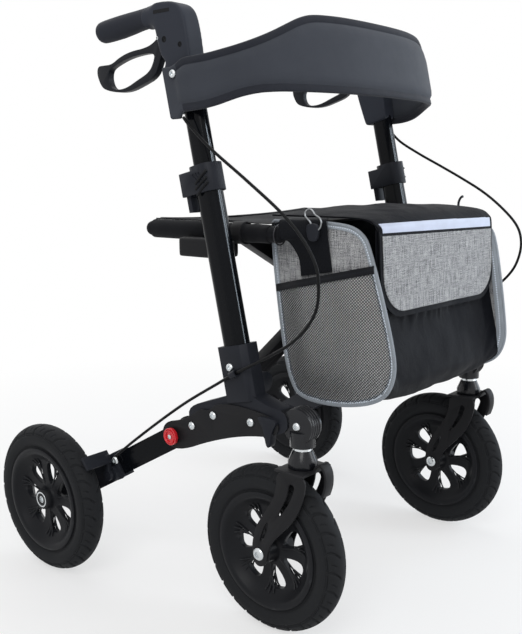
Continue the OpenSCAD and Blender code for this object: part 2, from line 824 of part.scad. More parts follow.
module frame_bolts() {
    head_d = head_share * bolt_d;
    head_h = bolt_d / 2;
    color(bolt_silver) {
        for (s = plate_bolt_shares) {
            x_rod(plate_in, plate_out, on_plate(s), bolt_d);
            x_rod(plate_out, plate_out + head_h, on_plate(s), head_d);
            x_rod(plate_in - head_h, plate_in, on_plate(s), head_d);
        }
        x_rod(
            side_x + nose_w / 2, side_x + nose_w / 2 + head_h, [nose_y, nose_z], head_d
        );
        post_frame() x_rod(
            sleeve_w / 2, sleeve_w / 2 + head_h,
            [sleeve_bolt_shares[0] * sleeve_d, sleeve_bolt_shares[1] * sleeve_h], head_d
        );
    }
}

module post() {
    color(tube_black) post_frame() linear_extrude(post_l) difference() {
        oval(post_d, post_w);
        oval(post_d - 2 * post_wall, post_w - 2 * post_wall);
    }
}

module clamp_collar() {
    color(plastic_grey) post_frame() difference() {
        union() {
            translate([0, 0, collar_z]) linear_extrude(collar_h) oval(collar_d, collar_w);
            for (x = [-collar_w / 2, collar_w / 2 - ear_t])
                translate([x, 0, collar_z]) cube([ear_t, collar_d / 2 + ear_l, ear_h]);
            x_rod(-collar_w / 2, collar_w / 2, [clamp_y, clamp_z], clamp_pin_d);
        }
        translate([0, 0, collar_z - cut]) linear_extrude(post_l - collar_z + cut + seat_fit)
            oval(post_d + 2 * seat_fit, post_w + 2 * seat_fit);
        translate([0, 0, collar_z]) linear_extrude(collar_h + cut)
            oval(tube_d + 2 * move_gap, tube_w + 2 * move_gap);
        for (i = [0 : rib_count - 1])
            translate([
                collar_w / 2 - rib_depth, (i - 1) * 2 * rib_w - rib_w, collar_z + collar_h / 2
            ])
                rotate([-rib_turn, 0, 0]) translate([0, -rib_w / 2, -rib_l / 2])
                    cube([rib_depth + cut, rib_w, rib_l]);
    }
}

module clamp_lever() {
    color(plastic_grey) post_frame() {
        difference() {
            union() {
                x_rod(-clamp_w / 2, clamp_w / 2, [clamp_y, clamp_z], cam_d);
                translate([-clamp_w / 2, clamp_y - clamp_tail_t / 2, clamp_z - clamp_tail])
                    cube([clamp_w, clamp_tail_t, clamp_tail]);
            }
            x_rod(-collar_w, collar_w, [clamp_y, clamp_z], clamp_pin_d + 2 * run_fit);
        }
    }
}

module rear_leg() {
    color(tube_black) difference() {
        leg_frame() translate([-leg_w / 2, -leg_lap, -leg_h / 2]) difference() {
            cube([leg_w, leg_l + leg_lap - boss_d / 2 - seat_fit, leg_h]);
            translate([leg_wall, -cut, leg_wall]) cube([
                leg_w - 2 * leg_wall, leg_l + leg_lap, leg_h - 2 * leg_wall
            ]);
        }
        plate_bolt_holes(seat_fit);
        for (x = [plate_in - leg_w, beam_out - seat_fit])
            side_slab(
                rounded(placed(plate_shares, plate_size, [nose_y, button_z])),
                x, x + leg_w + plate_t + 2 * seat_fit
            );
        x_rod(
            side_x, plate_out, [button_y, button_z], button_stem_d + 4 * move_gap
        );
    }
}

module wheel_bracket() {
    at = [rear_axle_y, wheel_r];
    color(plastic_grey) difference() {
        union() {
            leg_frame() translate([
                -leg_w / 2 - bracket_wall, leg_l - bracket_l, -leg_h / 2 - bracket_wall
            ])
                cube([leg_w + 2 * bracket_wall, bracket_l, leg_h + 2 * bracket_wall]);
            x_rod(boss_in, boss_out, at, boss_d);
            x_rod(leg_at_arm, arm_in - move_gap, arm_pivot, arm_d + 2 * bracket_wall);
            x_rod(leg_at_arm, arm_out + move_gap, arm_pivot, arm_pin_d);
        }
        leg_frame() translate([
            -leg_w / 2 - seat_fit, leg_l - bracket_l - cut, -leg_h / 2 - seat_fit
        ])
            cube([leg_w + 2 * seat_fit, bracket_l + cut - boss_d / 2, leg_h + 2 * seat_fit]);
        x_rod(boss_in - cut, boss_out + cut, at, axle_d + 2 * seat_fit);
    }
}

module brake_arm() {
    shoe = [
        rear_axle_y + (shoe_r + shoe_t / 2) * cos(shoe_angle),
        wheel_r + (shoe_r + shoe_t / 2) * sin(shoe_angle)
    ];
    color(plate_grey) difference() {
        union() {
            x_rod(arm_in, arm_out, arm_pivot, arm_d);
            hull() {
                x_rod(arm_in, arm_out, arm_pivot, arm_d / 2, $fn = 32);
                x_rod(arm_in, arm_out, shoe, arm_d / 2, $fn = 32);
            }
            translate([arm_in, shoe[0], shoe[1]]) rotate([shoe_angle - 90, 0, 0])
                translate([0, -shoe_l / 2, -shoe_t / 2])
                    cube([rear_x + shoe_w / 2 - arm_in, shoe_l, shoe_t]);
        }
        x_rod(arm_in - cut, arm_out + cut, arm_pivot, arm_pin_d + 2 * run_fit);
        wheel_frame(rear_x, rear_axle_y)
            cylinder(h = tyre_w + 2 * boss_gap, r = shoe_r, center = true);
    }
}

module button() {
    at = [button_y, button_z];
    face = plate_out + move_gap + button_travel;
    color(button_red) difference() {
        union() {
            x_rod(face, face + button_head, at, button_d);
            x_rod(face - button_stem_l, face, at, button_stem_d);
        }
        x_rod(
            face + button_head - button_dish, face + button_head + cut, at,
            button_d - 2 * button_rim
        );
    }
}

module saddle() {
    color(plastic_grey) difference() {
        union() {
            translate([saddle_in, saddle_front_y, saddle_z - saddle_h])
                cube([saddle_out - saddle_in, saddle_l, saddle_h]);
            translate([saddle_out - saddle_t, saddle_arm_y, saddle_z - saddle_h])
                cube([saddle_t, saddle_front_y + saddle_l - saddle_arm_y, saddle_h]);
        }
        y_rod(
            saddle_front_y - cut, saddle_front_y + saddle_l + cut, [rail_x, rail_z],
            hem_d + 2 * move_gap
        );
    }
}

module brake_cable(points) {
    color(cloth_black) swept_tube(route(points, cable_steps), cable_d, cable_sides);
}

// Handle
module inner_tube() {
    color(tube_black) post_frame() translate([0, 0, post_l - held_l])
        linear_extrude(held_l + reach_l) difference() {
            oval(tube_d, tube_w);
            oval(tube_d - 2 * tube_wall, tube_w - 2 * tube_wall);
        }
}

module grip_frame() {
    translate([side_x, grip_start[0], grip_start[1]]) rotate([-90 - grip_slope, 0, 0]) children();
}

module handle_shell() {
    size = [shell_d, shell_h];
    color(plastic_grey) {
        difference() {
            side_slab(
                rounded(placed(shell_shares, size, elbow)),
                side_x - shell_w / 2, side_x + shell_w / 2
            );
            post_frame() linear_extrude(tube_top + seat_fit)
                oval(tube_d + 2 * seat_fit, tube_w + 2 * seat_fit);
            translate([
                side_x - lever_w / 2 - move_gap, lever_pivot[0] - lever_boss_d / 2 - cut,
                lever_pivot[1] - lever_slot_h
            ])
                cube([lever_w + 2 * move_gap, shell_d, lever_slot_h + lever_boss_d / 2 + cut]);
            x_rod(
                side_x - shell_w, side_x + shell_w, lever_pivot, lever_pin_d + 2 * seat_fit
            );
            x_rod(side_x, side_x + shell_w, strap_place, strap_screw_d / 2 + 2 * seat_fit);
            for (at = placed(shell_screw_shares, size, elbow))
                x_rod(
                    side_x + shell_w / 2 - screw_head, side_x + shell_w, at, shell_screw_d
                );
        }
        grip_frame() translate([0, 0, -grip_bar_d]) cylinder(h = grip_l - grip_round, d = grip_bar_d);
    }
}

module grip() {
    bore_r = grip_bar_d / 2 + seat_fit;
    color(rubber_black) grip_frame() difference() {
        rotate_extrude() {
            square([grip_d / 2, grip_l - grip_round]);
            square([grip_d / 2 - grip_round, grip_l]);
            translate([grip_d / 2 - grip_round, grip_l - grip_round]) circle(r = grip_round);
        }
        translate([0, 0, -cut]) cylinder(h = grip_l - grip_bar_d + cut, r = bore_r);
    }
}

module handle_screws() {
    strap_out = back_out + back_t / 2 + seat_fit;
    color(bolt_silver) {
        x_rod(side_x - shell_w / 2, side_x + shell_w / 2, lever_pivot, lever_pin_d);
        x_rod(strap_out - back_t - strap_screw_l / 2, strap_out, strap_place, strap_screw_d / 2);
        x_rod(strap_out, strap_out + screw_head, strap_place, strap_screw_d);
    }
}

module brake_lever() {
    size = [lever_l, lever_h];
    x0 = side_x - lever_w / 2;
    color(plastic_grey) difference() {
        union() {
            difference() {
                side_slab(rounded(placed(lever_shares, size, lever_pivot)), x0, x0 + lever_w);
                side_slab(
                    rounded(placed(lever_hole_shares, size, lever_pivot)),
                    x0 - cut, x0 + lever_w + cut
                );
            }
            x_rod(x0, x0 + lever_w, lever_pivot, lever_boss_d);
        }
        x_rod(x0 - cut, x0 + lever_w + cut, lever_pivot, lever_pin_d + 2 * run_fit);
    }
}

// Cross brace
module brace_bar(y0, side) {
    bar_start = pin_d / 4;
    bar_stop = rail_r / 2;
    mirror([side > 0 ? 0 : 1, 0, 0])
        translate([0, y0 + brace_w, 0]) rotate([90, 0, 0]) linear_extrude(brace_w) difference() {
            union() {
                translate([-brace_x, brace_z]) circle(d = brace_eye_d);
                translate([rail_x, rail_z]) circle(d = brace_collar_d);
                translate([-brace_x, brace_z]) rotate(brace_angle)
                    translate([bar_start, -brace_h / 2])
                        square([brace_len - bar_start - bar_stop, brace_h]);
            }
            translate([-brace_x, brace_z]) circle(d = pin_d + 2 * run_fit);
            translate([0, cross_z]) circle(d = pin_d + 2 * run_fit);
            translate([rail_x, rail_z]) circle(d = rail_d + 2 * seat_fit);
        }
}

module cross_brace_a() {
    color(tube_black) brace_bar(brace_front_y, 1);
}

module cross_brace_b() {
    color(tube_black) brace_bar(brace_mid_y + brace_gap, -1);
}

module brace_pin() {
    color(bolt_silver)
        y_rod(brace_front_y - pin_out, brace_back_y + pin_out, [0, cross_z], pin_d);
}

module seat_rail() {
    color(cloth_black) {
        y_rod(rail_front_y + rail_r, rail_back_y - rail_r, [rail_x, rail_z], rail_d);
        for (y = [rail_front_y + rail_r, rail_back_y - rail_r])
            translate([rail_x, y, rail_z]) sphere(d = rail_d);
    }
}

// Seat and bag
module seat_sling() {
    color(cloth_black) difference() {
        union() {
            for (s = [-1, 1]) y_rod(sling_front_y, sling_back_y, [s * rail_x, rail_z], hem_d);
            translate([-rail_x, sling_front_y, rail_z + hem_d / 2 - sling_t])
                cube([2 * rail_x, sling_back_y - sling_front_y, sling_t]);
        }
        for (s = [-1, 1])
            y_rod(
                sling_front_y - cut, sling_back_y + cut, [s * rail_x, rail_z],
                rail_d + 2 * move_gap
            );
    }
}

module bag() {
    strap_end = rail_x - rail_r - move_gap;
    strap_start = bag_neck - strap_t;
    inside = [bag_d - 2 * bag_wall, bag_h - bag_wall];
    shoulder = bag_w / 2 - bag_neck;
    color(cloth_grey) {
        difference() {
            side_slab(
                rounded(placed(bag_shares, [bag_d, bag_h], [bag_front_y, bag_top_z])),
                -bag_w / 2, bag_w / 2
            );
            side_slab(
                rounded(placed(mouth_shares, inside, [bag_front_y + bag_wall, bag_top_z])),
                bag_wall - bag_neck, bag_neck - bag_wall
            );
            if (shoulder > 0) {
                for (x = [-bag_w / 2 - cut, bag_neck])
                    translate([x, bag_front_y - cut, bag_neck_z])
                        cube([shoulder + cut, bag_d + 2 * cut, bag_h]);
                intersection() {
                    side_slab(
                        rounded(placed(mouth_shares, inside, [bag_front_y + bag_wall, bag_top_z])),
                        bag_wall - bag_w / 2, bag_w / 2 - bag_wall
                    );
                    translate([-bag_w, bag_front_y, bag_neck_z - bag_wall - bag_h])
                        cube([2 * bag_w, bag_d, bag_h]);
                }
            }
        }
        for (s = [-1, 1])
            translate([
                s > 0 ? strap_start : -strap_end, bag_back_y - strap_inset - strap_w,
                rail_z - strap_t / 2
            ])
                cube([strap_end - strap_start, strap_w, strap_t]);
    }
}

module bag_flap() {
    run = route(placed(flap_shares, [bag_d, bag_h], [bag_front_y, bag_top_z]), flap_steps);
    color(cloth_grey) side_slab(band(run, flap_t), -flap_w / 2, flap_w / 2);
}

// Backrest: a padded band that bows forward from one handle to the other
function back_path(i) =
    let (
        a = 180 * i / back_steps,
        x = -back_out * power(cos(a), 2 / back_power),
        y = back_end_y - back_bow * power(sin(a), 2 / back_power)
    )
    [x, y];
function back_run() = concat(
    [[-back_out, back_end_y + back_tail], [-back_out, back_end_y + back_tail / 2]],
    [for (i = [0 : back_steps]) back_path(i)],
    [[back_out, back_end_y + back_tail / 2], [back_out, back_end_y + back_tail]]
);
function back_ring(run, i) =
    let (
        n = across(run, i),
        reach = abs(run[i][0]) / back_out,
        low = back_end_z + back_rise * lookup(reach, back_rise_shares),
        high = back_end_z + back_end_h + back_crest * lookup(reach, back_crest_shares),
        h = high - low,
        edge = i == 0 || i == len(run) - 1 ? back_edge_share : 1
    )
    [for (j = [0 : back_sides - 1])
        let (
            a = 360 * (j + 0.5) / back_sides,
            u = power(cos(a), back_side_share) * back_t / 2 * edge,
            z = low + h / 2 + power(sin(a), back_edge_share) * h / 2
        )
        [run[i][0] + n[0] * u, run[i][1] + n[1] * u + (z - back_end_z) * back_lean, z]];

module backrest() {
    run = back_run();
    rings = [for (i = [0 : len(run) - 1]) back_ring(run, i)];
    points = [for (r = rings, p = r) p];
    color(pad_grey) difference() {
        polyhedron(points, tube_faces(len(run), back_sides), convexity = 6);
        for (s = [0, 1]) mirror([s, 0, 0])
            x_rod(
                back_out - back_t, back_out + back_t, strap_place,
                strap_screw_d / 2 + 2 * move_gap
            );
    }
}

on_right() hub();  // right_hub
on_right() cheek_plates();  // right_cheek_plates
on_right() post();  // right_post
on_right() clamp_collar();  // right_clamp_collar
on_right() rear_leg();  // right_rear_leg
on_right() wheel_bracket();  // right_wheel_bracket
on_right() rear_axle();  // right_rear_axle
on_right() saddle();  // right_saddle
on_right() frame_bolts();  // right_frame_bolts
on_right() brake_cable(right_route);  // right_brake_cable
on_right() clamp_lever();  // right_clamp_lever
on_right() brake_arm();  // right_brake_arm
on_right() button();  // right_button
on_right() inner_tube();  // right_inner_tube
on_right() handle_shell();  // right_handle_shell
on_right() grip();  // right_grip
on_right() handle_screws();  // right_handle_screws
on_right() brake_lever();  // right_brake_lever
on_right() fork();  // right_fork
on_right() caster_stem();  // right_caster_stem
on_right() front_axle();  // right_front_axle
on_right() front_rim();  // right_front_rim
on_right() front_tyre();  // right_front_tyre
on_right() rear_rim();  // right_rear_rim
on_right() rear_tyre();  // right_rear_tyre
hub();  // left_hub
cheek_plates();  // left_cheek_plates
post();  // left_post
clamp_collar();  // left_clamp_collar
rear_leg();  // left_rear_leg
wheel_bracket();  // left_wheel_bracket
rear_axle();  // left_rear_axle
saddle();  // left_saddle
frame_bolts();  // left_frame_bolts
brake_cable(left_route);  // left_brake_cable
clamp_lever();  // left_clamp_lever
brake_arm();  // left_brake_arm
button();  // left_button
inner_tube();  // left_inner_tube
handle_shell();  // left_handle_shell
grip();  // left_grip
handle_screws();  // left_handle_screws
brake_lever();  // left_brake_lever
fork();  // left_fork
caster_stem();  // left_caster_stem
front_axle();  // left_front_axle
front_rim();  // left_front_rim
front_tyre();  // left_front_tyre
rear_rim();  // left_rear_rim
rear_tyre();  // left_rear_tyre
cross_brace_a();
cross_brace_b();
brace_pin();
on_right() seat_rail();  // right_seat_rail
seat_rail();  // left_seat_rail
seat_sling();
bag();
bag_flap();
backrest();
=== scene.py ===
"""Looks of a folding all-terrain rollator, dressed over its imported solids."""
import json
import math

import bmesh
import bpy
from bpy.props import FloatProperty, FloatVectorProperty, IntProperty, PointerProperty
from mathutils import Matrix, Vector, noise

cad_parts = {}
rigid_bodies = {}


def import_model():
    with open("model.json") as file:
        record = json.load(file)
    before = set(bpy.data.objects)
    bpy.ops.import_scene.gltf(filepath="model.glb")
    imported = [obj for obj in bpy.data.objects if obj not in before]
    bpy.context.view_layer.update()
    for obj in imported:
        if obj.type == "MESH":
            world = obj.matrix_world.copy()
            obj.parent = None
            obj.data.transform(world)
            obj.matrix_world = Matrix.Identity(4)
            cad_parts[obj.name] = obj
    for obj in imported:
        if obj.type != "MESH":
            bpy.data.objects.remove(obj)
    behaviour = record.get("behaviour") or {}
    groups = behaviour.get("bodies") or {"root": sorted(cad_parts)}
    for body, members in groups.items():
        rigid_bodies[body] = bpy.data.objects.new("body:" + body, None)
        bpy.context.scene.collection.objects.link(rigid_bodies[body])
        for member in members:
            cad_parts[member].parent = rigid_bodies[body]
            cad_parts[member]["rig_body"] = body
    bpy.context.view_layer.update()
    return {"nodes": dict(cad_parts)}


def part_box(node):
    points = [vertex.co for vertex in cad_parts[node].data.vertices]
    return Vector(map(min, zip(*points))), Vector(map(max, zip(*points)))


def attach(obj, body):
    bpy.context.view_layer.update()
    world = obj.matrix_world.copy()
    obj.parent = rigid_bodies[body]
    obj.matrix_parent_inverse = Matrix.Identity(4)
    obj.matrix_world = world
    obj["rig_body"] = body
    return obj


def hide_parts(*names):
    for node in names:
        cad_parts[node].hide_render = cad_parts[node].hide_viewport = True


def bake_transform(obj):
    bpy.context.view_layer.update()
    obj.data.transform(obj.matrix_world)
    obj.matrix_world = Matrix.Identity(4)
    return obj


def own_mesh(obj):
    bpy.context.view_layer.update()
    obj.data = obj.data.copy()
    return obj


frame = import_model()

bl_info = {
    "name": "All-terrain rollator",
    "version": (1, 0, 0),
    "blender": (4, 5, 0),
    "location": "View3D > Sidebar > Rollator",
    "description": "Dresses the solids of a folding all-terrain rollator",
    "category": "Object",
}

MM = 0.001
SIDES = {"right": -1, "left": 1}
WHEELS = [f"{side}_{end}" for side in SIDES for end in ("front", "rear")]


def hexed(code):
    """A written colour as linear light."""
    parts = [int(code[i:i + 2], 16) / 255 for i in (0, 2, 4)]
    return [c / 12.92 if c < 0.04045 else ((c + 0.055) / 1.055) ** 2.4 for c in parts]


def size(title, text, default, low, high, unit="LENGTH"):
    return FloatProperty(name=title, description=text, default=default, min=low, max=high, unit=unit)


def colour(title, text, code):
    return FloatVectorProperty(
        name=title, description=text, subtype="COLOR", size=3, min=0, max=1, default=hexed(code)
    )


class RollatorSizes(bpy.types.PropertyGroup):
    tread_depth: size("Tread depth", "Depth of the grooves in the tyres", 0.0022, 0.001, 0.004)
    tread_blocks: IntProperty(
        name="Tread blocks", description="Blocks round each shoulder of a tyre", default=26, min=16, max=40
    )
    moulding_round: size("Moulding edge", "Rounding of the moulded pieces' edges", 0.0016, 0.0005, 0.003)
    plate_round: size("Plate edge", "Rounding of the pressed plates' edges", 0.0006, 0.0002, 0.001)
    handle_round: size("Handle edge", "Rounding of the handles' edges", 0.009, 0.003, 0.012)
    piping: size("Piping", "Diameter of the piping round the bag's sides", 0.005, 0.003, 0.009)
    net_pitch: size("Net pitch", "Distance between the strands of the side pockets", 0.0031, 0.0026, 0.008)
    pocket_bulge: size("Pocket bulge", "How far the side pockets stand out", 0.006, 0.002, 0.015)
    lid_crown: size("Lid crown", "Rise of the bag's lid in its middle", 0.008, 0.0, 0.015)
    seat_sag: size("Seat sag", "Sag of the sling in its middle", 0.007, 0.0, 0.02)
    pad_swell: size("Pad swell", "Swell of the backrest's panel", 0.0025, 0.0, 0.005)


class RollatorColours(bpy.types.PropertyGroup):
    tube: colour("Tubes", "Gloss lacquer of posts, legs and braces", "0a0c10")
    plate: colour("Plates", "Matt coat of plates and forks", "1d1d1f")
    moulding: colour("Mouldings", "Dark slate of castings and collars", "212329")
    handle: colour("Handles", "Slate of the handle shells", "31343c")
    grip: colour("Grips", "Soft rubber of the handgrips", "2a2c33")
    rim: colour("Rims", "Moulded black of the wheels", "1b1c1f")
    tyre: colour("Tyres", "Rubber of the tyres", "222325")
    bolt: colour("Bolts", "Bright zinc of bolts and rings", "d4d8da")
    button: colour("Buttons", "Red of the push buttons", "e0242f")
    cable: colour("Cables", "Sheath of the brake cables", "0c0d0f")
    seat_cloth: colour("Seat cloth", "Black weave of the seat", "131418")
    bag_black: colour("Bag cloth", "Black cloth of the bag", "0d0f15")
    heather_light: colour("Heather light", "Pale threads of the heather cloth", "d2d2d2")
    heather_dark: colour("Heather dark", "Dark threads of the heather cloth", "515257")
    piping: colour("Piping", "Blue-grey of piping and binding", "a8afb7")
    strip: colour("Strip", "Pale reflective strip", "bcc3d8")
    pad: colour("Pad", "Panel of the backrest", "3d4047")
    pad_edge: colour("Pad edge", "Binding of the backrest", "292b32")


def sizes():
    return bpy.context.scene.rollator_sizes


def colours():
    return bpy.context.scene.rollator_colours


# Selecting and shaping

def take(*objs):
    """Makes these the only selected objects, the first one active."""
    if bpy.context.object and bpy.context.object.mode != "OBJECT":
        bpy.ops.object.mode_set(mode="OBJECT")
    bpy.ops.object.select_all(action="DESELECT")
    for o in objs:
        o.select_set(True)
    if objs:
        bpy.context.view_layer.objects.active = objs[0]


def newest(name):
    obj = bpy.context.object
    obj.name = obj.data.name = name
    return obj


def settle(obj):
    """Puts the object's place into its mesh."""
    take(obj)
    bpy.ops.object.transform_apply(location=True, rotation=True, scale=True)
    return obj


def in_edit(obj, work):
    take(obj)
    bpy.ops.object.mode_set(mode="EDIT")
    bpy.ops.mesh.select_all(action="SELECT")
    work()
    bpy.ops.object.mode_set(mode="OBJECT")
    return obj


def weld(obj, gap=1e-5, recalc=True):
    def work():
        bpy.ops.mesh.remove_doubles(threshold=gap)
        if recalc:
            bpy.ops.mesh.normals_make_consistent(inside=False)
    return in_edit(obj, work)


def modified(obj, kind, **settings):
    """Adds a modifier and applies it."""
    take(obj)
    mod = obj.modifiers.new(kind.title(), kind)
    for key, value in settings.items():
        setattr(mod, key, value)
    bpy.ops.object.modifier_apply(modifier=mod.name)
    return obj


def smooth(obj, angle=40):
    take(obj)
    bpy.ops.object.shade_smooth_by_angle(angle=math.radians(angle))
    return obj


def joined(name, objs):
    take(*objs)
    if len(objs) > 1:
        bpy.ops.object.join()
    return newest(name)


def copied(obj, name, matrix):
    """A copy with its own mesh, moved by a matrix."""
    other = bpy.data.objects.new(name, obj.data.copy())
    bpy.context.scene.collection.objects.link(other)
    other.data.transform(matrix)
    if matrix.determinant() < 0:
        other.data.flip_normals()
    return other


def drop(obj):
    bpy.data.objects.remove(obj, do_unlink=True)


def painted(obj, *finishes):
    obj.data.materials.clear()
    for f in finishes:
        obj.data.materials.append(f)
    return obj


def dressed(obj, body, slot, *nodes):
    """Lets a piece ride on a body and stand for nodes, whose solids it hides. The slot is not used."""
    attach(obj, body)
    if nodes:
        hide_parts(*nodes)
    return obj


def body_name(node):
    return frame["nodes"][node]["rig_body"]


def rounds(points, times):
    """Rounds a closed outline by cutting its corners."""
    for _ in range(times):
        points = [
            p for a, b in zip(points, points[1:] + points[:1])
            for p in (a.lerp(b, 0.25), b.lerp(a, 0.25))
        ]
    return points


def evened(points, count, closed=True):
    """The same outline with its points evenly spaced."""
    ring = points + points[:1] if closed else points
    marks = [0.0]
    for a, b in zip(ring, ring[1:]):
        marks.append(marks[-1] + (b - a).length)
    found, k = [], 0
    for i in range(count):
        at = marks[-1] * i / (count if closed else count - 1)
        while k < len(marks) - 2 and marks[k + 1] < at:
            k += 1
        span = marks[k + 1] - marks[k]
        found.append(ring[k].lerp(ring[k + 1], (at - marks[k]) / span if span else 0))
    return found


def routed(points, steps):
    """A smooth run through the points of a route."""
    run = []
    for i in range(len(points) - 1):
        a, b, c = points[max(i - 1, 0)], points[i], points[i + 1]
        d = points[min(i + 2, len(points) - 1)]
        for k in range(steps):
            t = k / steps
            run.append(
                b + (c - a) * t / 2 + (a * 2 - b * 5 + c * 4 - d) * t * t / 2
                + (b * 3 - a - c * 3 + d) * t ** 3 / 2
            )
    return run + [points[-1]]


def ease(t):
    t = min(max(t, 0.0), 1.0)
    return t * t * (3 - 2 * t)


def along(table, at):
    """Reads a table of pairs between its rows."""
    for (a, low), (b, high) in zip(table, table[1:]):
        if at <= b:
            return low + (high - low) * max((at - a) / (b - a), 0.0)
    return table[-1][1]


def length_of(run):
    return sum((b - a).length for a, b in zip(run, run[1:]))


CLOTH_FRAMES = 20


def hung(obj, held, grow, gravity, cap):
    """Lets a piece settle as cloth, held where held(point) is true, and keeps what it comes to."""
    scene = bpy.context.scene
    rest = [v.co.copy() for v in obj.data.vertices]
    group = obj.vertex_groups.new(name="held")
    group.add([v.index for v in obj.data.vertices if held(v.co)], 1.0, "REPLACE")
    take(obj)
    cloth = obj.modifiers.new("Cloth", "CLOTH")
    cloth.collision_settings.use_collision = False
    cloth.point_cache.frame_start, cloth.point_cache.frame_end = 1, CLOTH_FRAMES
    s = cloth.settings
    s.quality, s.mass, s.bending_stiffness = 6, 0.2, 0.3
    s.vertex_group_mass = "held"
    s.shrink_min = -grow
    s.effector_weights.gravity = gravity
    for k in range(1, CLOTH_FRAMES + 1):
        scene.frame_set(k)
    bpy.ops.object.modifier_apply(modifier=cloth.name)
    scene.frame_set(1)
    for v, p in zip(obj.data.vertices, rest):
        move = v.co - p
        if move.length > cap:
            v.co = p + move * (cap / move.length)
    obj.vertex_groups.remove(obj.vertex_groups["held"])
    return obj


# Pieces made from outlines, sheets and runs

def sheet_piece(name, nu, nv, place, spread=None):
    """A sheet of nu by nv cells. place(u, v) gives its points, spread(u, v) its map in metres."""
    take()
    bpy.ops.mesh.primitive_grid_add(x_subdivisions=nu, y_subdivisions=nv, size=1, calc_uvs=True)
    obj = newest(name)
    shares = [(v.co.x + 0.5, v.co.y + 0.5) for v in obj.data.vertices]
    for v, (a, b) in zip(obj.data.vertices, shares):
        v.co = place(a, b)
    spread = spread or (lambda a, b: (a, b))
    layer = obj.data.uv_layers.active.data
    for loop in obj.data.loops:
        layer[loop.index].uv = spread(*shares[loop.vertex_index])
    return obj


def flat_piece(name, outline, extrude, bevel=0.0, segments=3):
    """A filled outline of (y, z) points extruded along X, with its rims rounded."""
    take()
    bpy.ops.mesh.primitive_circle_add(vertices=len(outline), radius=1, fill_type="NGON")
    obj = newest(name)
    for v, p in zip(obj.data.vertices, outline):
        v.co = (extrude[0], p[0], p[1])

    def work():
        bpy.ops.mesh.extrude_region_move(
            TRANSFORM_OT_translate={"value": (extrude[1] - extrude[0], 0, 0)}
        )
        bpy.ops.mesh.select_all(action="SELECT")
        bpy.ops.mesh.normals_make_consistent(inside=False)
    in_edit(obj, work)
    if bevel:
        modified(
            obj, "BEVEL", width=bevel, segments=segments, limit_method="ANGLE",
            angle_limit=math.radians(50), use_clamp_overlap=False
        )
    return obj


def spun(name, profile, steps, angle=2 * math.pi):
    """A closed profile of (along X, radius) points turned about the X axis."""
    take()
    bpy.ops.mesh.primitive_circle_add(vertices=len(profile), radius=1, fill_type="NOTHING")
    obj = newest(name)
    for v, (a, r) in zip(obj.data.vertices, profile):
        v.co = (a, 0, r)

    def work():
        bpy.ops.mesh.spin(steps=steps, angle=angle, center=(0, 0, 0), axis=(1, 0, 0))
        bpy.ops.mesh.select_all(action="SELECT")
        bpy.ops.mesh.remove_doubles(threshold=1e-6)
        bpy.ops.mesh.normals_make_consistent(inside=False)
    return in_edit(obj, work)


def rod(name, run, diameter, sides=12, cyclic=False, finish=None):
    """A round rod, cord or ring along a run of points."""
    data = bpy.data.curves.new(name, "CURVE")
    data.dimensions = "3D"
    line = data.splines.new("POLY")
    line.points.add(len(run) - 1)
    for p, q in zip(line.points, run):
        p.co = (*q, 1)
    line.use_cyclic_u = cyclic
    data.bevel_depth = diameter / 2
    data.bevel_resolution = max(sides // 4 - 1, 0) + 1
    data.use_fill_caps = True
    obj = bpy.data.objects.new(name, data)
    bpy.context.scene.collection.objects.link(obj)
    take(obj)
    bpy.ops.object.convert(target="MESH")
    obj = newest(name)
    weld(obj, 1e-6)
    smooth(obj, 50)
    return painted(obj, finish) if finish else obj


def ring_run(centre, u, v, radius, count=32, start=0.0, turn=2 * math.pi):
    full = abs(turn - 2 * math.pi) < 1e-6
    return [
        centre + u * radius * math.cos(start + turn * k / (count if full else count - 1))
        + v * radius * math.sin(start + turn * k / (count if full else count - 1))
        for k in range(count)
    ]


def rounded_node(node, ending, width, finish, slot, segments=2, flat=1.0, angle=35):
    """A copy of a solid with its edges rounded, which stands for it."""
    mesh = frame["nodes"][node].data.copy()
    obj = bpy.data.objects.new(f"{node}_{ending}", mesh)
    bpy.context.scene.collection.objects.link(obj)

    def work():
        bpy.ops.mesh.remove_doubles(threshold=2e-5)
        if flat:
            bpy.ops.mesh.dissolve_limited(angle_limit=math.radians(flat))
    in_edit(obj, work)
    if width:
        modified(
            obj, "BEVEL", width=width, segments=segments, limit_method="ANGLE",
            angle_limit=math.radians(angle), use_clamp_overlap=True
        )
    smooth(obj, 40)
    painted(obj, finish)
    return dressed(obj, body_name(node), slot, node)


def loose_boxes(node):
    """Lowest and highest corners of each separate solid in a node."""
    mesh = bmesh.new()
    mesh.from_mesh(frame["nodes"][node].data)
    bmesh.ops.remove_doubles(mesh, verts=mesh.verts, dist=2e-5)
    seen, boxes = set(), []
    for first in mesh.verts:
        if first in seen:
            continue
        seen.add(first)
        todo, found = [first], []
        while todo:
            v = todo.pop()
            found.append(v.co.copy())
            for e in v.link_edges:
                w = e.other_vert(v)
                if w not in seen:
                    seen.add(w)
                    todo.append(w)
        boxes.append((
            Vector([min(p[i] for p in found) for i in range(3)]),
            Vector([max(p[i] for p in found) for i in range(3)]),
        ))
    mesh.free()
    return boxes


# Finishes

